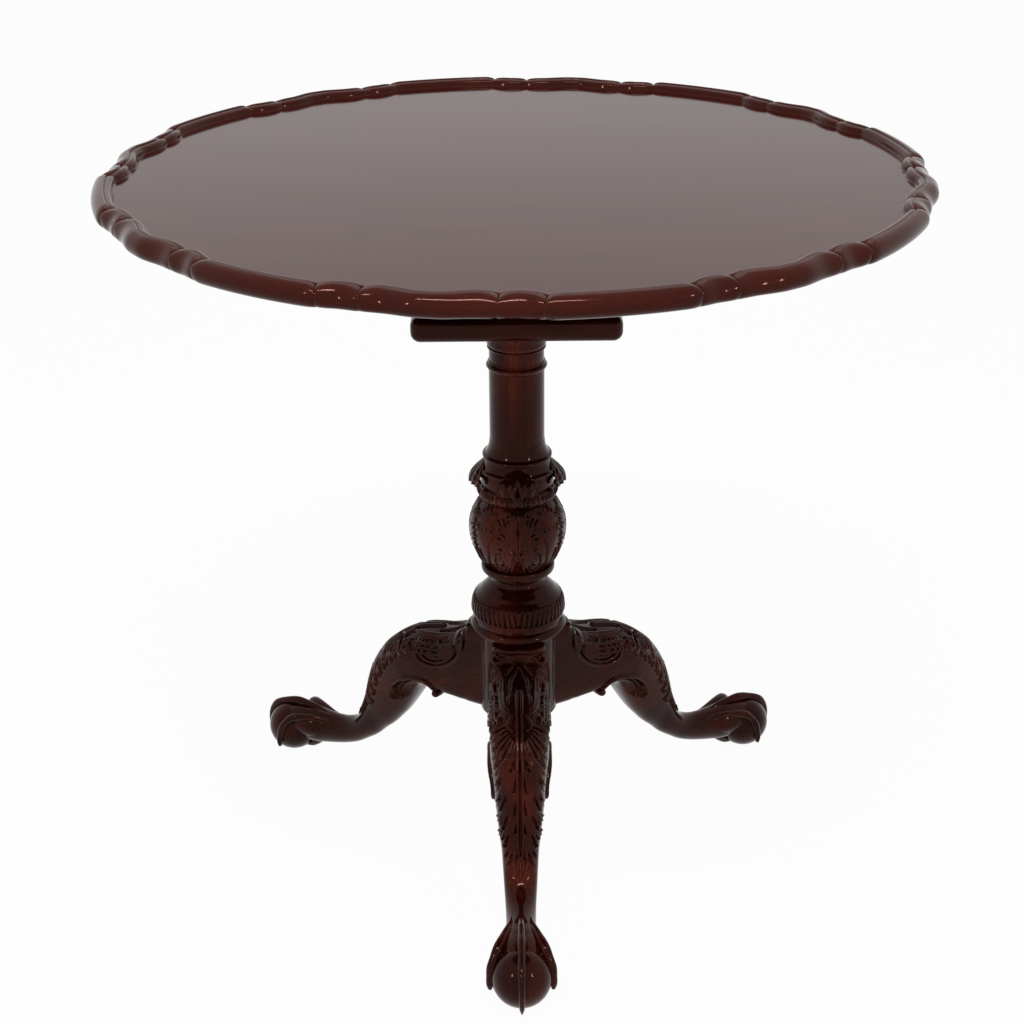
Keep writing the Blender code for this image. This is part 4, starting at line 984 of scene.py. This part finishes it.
def make_pillar():
    wood = mahogany("pillar_mahogany", turn=(0, math.radians(90), 0), carved=True)
    shaft_wood = mahogany("shaft_mahogany", turn=(0, math.radians(90), 0), shift=(0.2, 0.1, 0.3))
    hub_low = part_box("pillar")[0].z

    outline = [(HUB_RADIUS, hub_low), (HUB_RADIUS, HUB_TOP)] + stacked(FOOT_MOULDINGS, HUB_TOP)
    outline += [tuple(row) for row in curve_through(NECK_PROFILE, 6)]
    foot = turned("pillar_foot", closed_profile(outline), 320)
    tongue = [stroke([(0.0019, 0.2772), (0.0005, 0.27), (-0.0019, 0.262)],
                     0.0017, 0.0022, 0.0022, 0.0004, 0.0006)]
    carve_turned(foot, tongue, 52, 0.047, 0.0012, 0.261, 0.2776, mirror_halves=True)
    smooth(foot, 45)
    dress(foot, wood, "base", "mahogany", "pillar")

    count = 110
    outline = []
    for i in range(count + 1):
        height = BALL_LOW + (BALL_HIGH - BALL_LOW) * i / count
        half = BALL_RADII[1] if height < BALL_MIDDLE else BALL_RADII[2]
        outline.append((BALL_RADII[0] * math.sqrt(1 - ((height - BALL_MIDDLE) / half) ** 2), height))
    carved_ball = turned("pillar_ball", closed_profile(outline), 384)
    carve_turned(carved_ball, ball_strokes(), 4, 0.0475, 0.0016, BALL_LOW + 0.0015, BALL_HIGH - 0.0012)
    smooth(carved_ball, 60)
    dress(carved_ball, wood, "base", "mahogany")

    collar = turned("pillar_collar", closed_profile(curve_through(COLLAR_PROFILE, 3)), 192)
    petal = [stroke([(0.0, 0.388), (0.0, 0.396), (0.0, 0.402)], 0.0062, 0.003, 0.003, 0.001, 0.0016),
             stroke([(0.008, 0.388), (0.008, 0.3985)], 0.003, 0.0012, 0.0022),
             stroke([(-0.008, 0.388), (-0.008, 0.3985)], 0.003, 0.0012, 0.0022)]
    carve_turned(collar, petal, 12, 0.0395, 0.0016, 0.3884, 0.404)
    leaf = hanging_leaf()
    turns = [Matrix.Rotation(FRONT + i * math.pi / 2, 4, "Z") for i in range(4)]
    combine(collar, "UNION", *(copy_of(leaf, "hanging_leaf", turn) for turn in turns))
    bpy.data.objects.remove(leaf)
    smooth(collar, 45)
    dress(collar, wood, "base", "mahogany")

    stem_low, stem_high = PLATE_LOW.z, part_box("pillar")[1].z
    points = [(SHAFT_RADIUS, height) for height in SHAFT_RINGS] + stacked(CAPITAL_MOULDINGS, CAPITAL_LOW)
    points = [point for point in points if point[1] < stem_low - 0.0002]
    seat, step = stem_low - 0.0003, PLATE_HIGH.z + STEM_STEP
    points += [(CAPITAL_RADIUS, seat), (STEM_RADII[0], seat), (STEM_RADII[0], step), (STEM_RADII[1], step),
               (STEM_RADII[1], stem_high)]
    shaft = turned("pillar_shaft", closed_profile(points), 96)
    smooth(shaft, 35)
    dress(shaft, shaft_wood, "base", "mahogany")


# Birdcage, bearers and fittings

# Colonnette between the plates: radius and share of the height
VASE_PROFILE = (
    (0.0118, 0.000), (0.0126, 0.025), (0.0124, 0.055), (0.0100, 0.075), (0.0084, 0.100), (0.0092, 0.130),
    (0.0118, 0.200), (0.0130, 0.320), (0.0124, 0.460), (0.0096, 0.640), (0.0078, 0.780), (0.0078, 0.860),
    (0.0098, 0.885), (0.0098, 0.910), (0.0084, 0.925), (0.0110, 0.945), (0.0125, 0.965), (0.0118, 1.000),
)
TENON_RADIUS = 0.0075
SLOT_TURN = 0.7             # each screw's slot stands this much further round

def eased(node, width, segments, degrees):
    """A copy of a solid with its edges eased."""
    obj = copy_of(frame["nodes"][node], f"eased_{node.removeprefix('cage_')}")
    edit_all(obj)
    bpy.ops.mesh.remove_doubles(threshold=1e-5)
    bpy.ops.mesh.dissolve_limited(angle_limit=math.radians(1.0))
    bpy.ops.object.mode_set(mode="OBJECT")
    modifier = obj.modifiers.new("ease", "BEVEL")
    modifier.width = width
    modifier.segments = segments
    modifier.limit_method = "ANGLE"
    modifier.angle_limit = math.radians(degrees)
    apply_modifiers(obj)
    smooth(obj, degrees)
    return obj


def make_lower_plate():
    """Square slab with full pillowed edges, bored for the stem."""
    middle = (PLATE_LOW + PLATE_HIGH) / 2
    deselect()
    bpy.ops.mesh.primitive_cube_add(size=1.0, location=middle, scale=PLATE_HIGH - PLATE_LOW)
    plate = bpy.context.object
    plate.name = "lower_plate"
    bpy.ops.object.transform_apply(location=True, rotation=True, scale=True)
    edit_all(plate)
    bpy.ops.mesh.bevel(offset=0.009, segments=7, profile=0.5, affect="EDGES")
    bpy.ops.object.mode_set(mode="OBJECT")
    deselect()
    bpy.ops.mesh.primitive_cylinder_add(vertices=64, radius=STEM_BORE, depth=0.06, location=middle)
    combine(plate, "DIFFERENCE", bpy.context.object)
    smooth(plate)
    wood = mahogany("cage_mahogany", shift=(0.1, 0.6, 0.2))
    dress(plate, wood, "cage", "mahogany", "cage_lower_plate")


def make_colonnettes():
    """Four turned vases between the plates, from one model."""
    wood = mahogany("colonnette_mahogany", turn=(0, math.radians(90), 0), shift=(0.7, 0.2, 0.5))
    names = [f"colonnette_{place}" for place in ("front_left", "front_right", "back_left", "back_right")]
    low, high = (corner.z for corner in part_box(names[0]))
    foot, head = PLATE_HIGH.z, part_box("cage_upper_plate")[0].z
    points = [(TENON_RADIUS, low), (TENON_RADIUS, foot + 0.0003)]
    points += [(radius, foot + 0.0004 + (head - foot - 0.0008) * share)
               for radius, share in curve_through(VASE_PROFILE, 4)]
    points += [(TENON_RADIUS, head - 0.0003), (TENON_RADIUS, high)]
    vase = turned("vase", closed_profile(points), 48)
    for name in names:
        low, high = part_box(name)
        middle = (low + high) / 2
        column = copy_of(vase, f"turned_{name}", Matrix.Translation((middle.x, middle.y, 0)))
        smooth(column)
        dress(column, wood, "cage", "mahogany", name)
    bpy.data.objects.remove(vase)


def slotted_screw(radius, length):
    """A countersunk wood screw that points down from the origin."""
    screw = turned("screw", [(0, 0), (radius - 0.0003, 0), (radius, -0.0003), (0.0019, -0.0026),
                             (0.0019, 0.004 - length), (0.0006, 0.0002 - length), (0, -length)], 28)
    deselect()
    bpy.ops.mesh.primitive_cube_add(size=1.0, scale=(0.0009, 4 * radius, 0.0024))
    bpy.ops.object.transform_apply(location=True, rotation=True, scale=True)
    combine(screw, "DIFFERENCE", bpy.context.object)
    return screw


def make_screws(finishes):
    """Slotted screws in place of the plain pegs, from one model for each size."""
    slots = {item["node"]: item["material_slot"] for item in frame["record"]["subparts"]}
    riders = frame["record"]["behaviour"]["bodies"]
    bodies = {node: body for body, nodes in riders.items() for node in nodes}
    models = {}
    for index, node in enumerate(name for name in frame["nodes"] if "screw" in name):
        low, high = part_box(node)
        size = high - low
        axis = max(range(3), key=lambda i: size[i])
        radius = max(size[i] for i in range(3) if i != axis) / 2
        kind = (round(radius, 5), round(size[axis], 5))
        if kind not in models:
            models[kind] = slotted_screw(radius, size[axis])
        inwards = Vector((0, 0, 0))
        inwards[axis] = 1.0
        head = (low + high) / 2
        head[axis] = low[axis]
        turn = Vector((0, 0, -1)).rotation_difference(inwards).to_matrix().to_4x4()
        place = Matrix.Translation(head) @ turn @ Matrix.Rotation(SLOT_TURN * index, 4, "Z")
        screw = copy_of(models[kind], f"slotted_{node}", place)
        smooth(screw, 35)
        dress(screw, finishes[slots[node]], bodies[node], slots[node], node)
    for model in models.values():
        bpy.data.objects.remove(model)


def make_fittings():
    under = mahogany("bearer_mahogany", turn=(0, 0, math.radians(90)), shift=(0.3, 0.9, 0.4))
    cage = mahogany("upper_plate_mahogany", shift=(0.8, 0.1, 0.6))
    ring = mahogany("collar_ring_mahogany", turn=(0, math.radians(90), 0), shift=(0.5, 0.4, 0.1))
    brass = metal("aged_brass", (0.16, 0.098, 0.036), (0.4, 0.27, 0.105), 0.3)
    iron = metal("wrought_iron", (0.03, 0.027, 0.025), (0.085, 0.078, 0.072), 0.5)
    steel = metal("dull_steel", (0.2, 0.19, 0.18), (0.42, 0.41, 0.39), 0.36)
    # width of the eased edge, its segments and the angle that counts as an edge
    for node, finish, body, slot, width, segments, degrees in (
            ("bearer_left", under, "top", "mahogany", 0.0012, 3, 35.0),
            ("bearer_right", under, "top", "mahogany", 0.0012, 3, 35.0),
            ("cage_upper_plate", cage, "cage", "mahogany", 0.001, 2, 35.0),
            ("wedge_key", bare_oak(), "key", "oak", 0.0008, 3, 35.0),
            ("base_brace", iron, "base", "iron", 0.0005, 2, 35.0),
            ("bolt_plate", brass, "top", "brass", 0.0004, 2, 35.0),
            ("strike_plate", brass, "cage", "brass", 0.0004, 2, 35.0),
            ("bolt", brass, "bolt", "brass", 0.0003, 2, 50.0)):
        dress(eased(node, width, segments, degrees), finish, body, slot, node)
    low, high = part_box("collar_ring")
    outline = [(STEM_BORE, low.z)]
    for inset, rise in ((0.002, 0.0), (0.0006, 0.0006), (0.0, 0.002)):
        outline.append((high.x - inset, low.z + rise))
    for inset, fall in ((0.0, 0.002), (0.0006, 0.0006), (0.002, 0.0)):
        outline.append((high.x - inset, high.z - fall))
    collar = turned("turned_collar_ring", outline + [(STEM_BORE, high.z)], 96)
    smooth(collar, 35)
    dress(collar, ring, "base", "mahogany", "collar_ring")
    make_screws({"brass": brass, "iron": iron, "steel": steel})


# Studio

FLOOR_WHITE = 0.96          # share of white in the floor as it is seen; the rest takes the shadow


def seen_background(start):
    """1 where the camera, a reflection or a clear piece looks at the background."""
    seen = start.node("LightPath", None, None, "Is Camera Ray")
    path = seen.socket.node
    for label in ("Is Glossy Ray", "Is Transmission Ray"):
        seen = seen.highest(Value(start.tree, path.outputs[label]))
    return seen


def make_floor():
    deselect()
    bpy.ops.mesh.primitive_plane_add(size=60.0)
    floor = bpy.context.object
    floor.name = "floor"
    material = bpy.data.materials.new("pale_floor")
    material.use_nodes = True
    tree = material.node_tree
    tree.nodes.remove(tree.nodes["Principled BSDF"])
    start = Value(tree)
    pale = start.node("BsdfDiffuse", None, {"Color": (0.86, 0.86, 0.86, 1.0)})
    white = start.node("Emission", None, {"Color": (1.0, 1.0, 1.0, 1.0), "Strength": 1.0})
    share = FLOOR_WHITE * seen_background(start)
    mixed = start.node("MixShader", None, {0: share, 1: pale, 2: white})
    tree.links.new(mixed.socket, tree.nodes["Material Output"].inputs["Surface"])
    floor.data.materials.append(material)


def make_world():
    """White to look at. Its light comes from behind and above the table, and little from the front."""
    world = bpy.data.worlds.new("studio")
    bpy.context.scene.world = world
    world.use_nodes = True
    tree = world.node_tree
    start = Value(tree)
    coord = start.node("TexCoord", None, None, "Generated")
    parts = start.node("SeparateXYZ", None, {"Vector": coord}, "Y")
    overhead = Value(tree, parts.socket.node.outputs["Z"]).between(0.8, 0.92)
    level = seen_background(start).highest(0.05 + 0.65 * parts.between(0.25, 0.8).highest(overhead))
    shade = start.node("CombineColor", None, {0: level, 1: level, 2: level})
    background = tree.nodes["Background"]
    tree.links.new(shade.socket, background.inputs["Color"])


def add_lamp(name, place, aim, size, power):
    deselect()
    bpy.ops.object.light_add(type="AREA", location=place)
    lamp = bpy.context.object
    lamp.name = name
    lamp.data.shape = "RECTANGLE"
    lamp.data.size, lamp.data.size_y = size
    lamp.data.energy = power
    lamp.rotation_euler = (Vector(aim) - Vector(place)).to_track_quat("-Z", "Y").to_euler()


def make_studio():
    make_floor()
    make_world()
    add_lamp("key_softbox", (-0.15, -1.35, 3.0), (0, 0, 0.5), (1.5, 0.16), 48)
    add_lamp("back_softbox", (0.0, 1.6, 3.2), (0, 0.2, 0.0), (2.4, 1.2), 10)
    add_lamp("left_strip", (-1.5, -1.7, 1.5), (0, 0, 0.35), (0.08, 0.32), 6)
    add_lamp("right_strip", (1.6, -1.6, 1.4), (0, 0, 0.35), (0.08, 0.32), 6)
    deselect()
    bpy.ops.object.camera_add()
    camera = bpy.context.object
    camera.name = "camera"
    camera.data.lens = CAMERA_LENS
    camera.matrix_world = (Matrix.Translation(CAMERA_PLACE) @ Matrix.Rotation(CAMERA_PITCH, 4, "X")
                           @ Matrix.Rotation(CAMERA_ROLL, 4, "Z"))
    bpy.context.scene.camera = camera
    bpy.context.scene.view_settings.view_transform = "Standard"


make_top()
make_legs()
make_pillar()
make_lower_plate()
make_colonnettes()
make_fittings()
make_studio()
deselect()
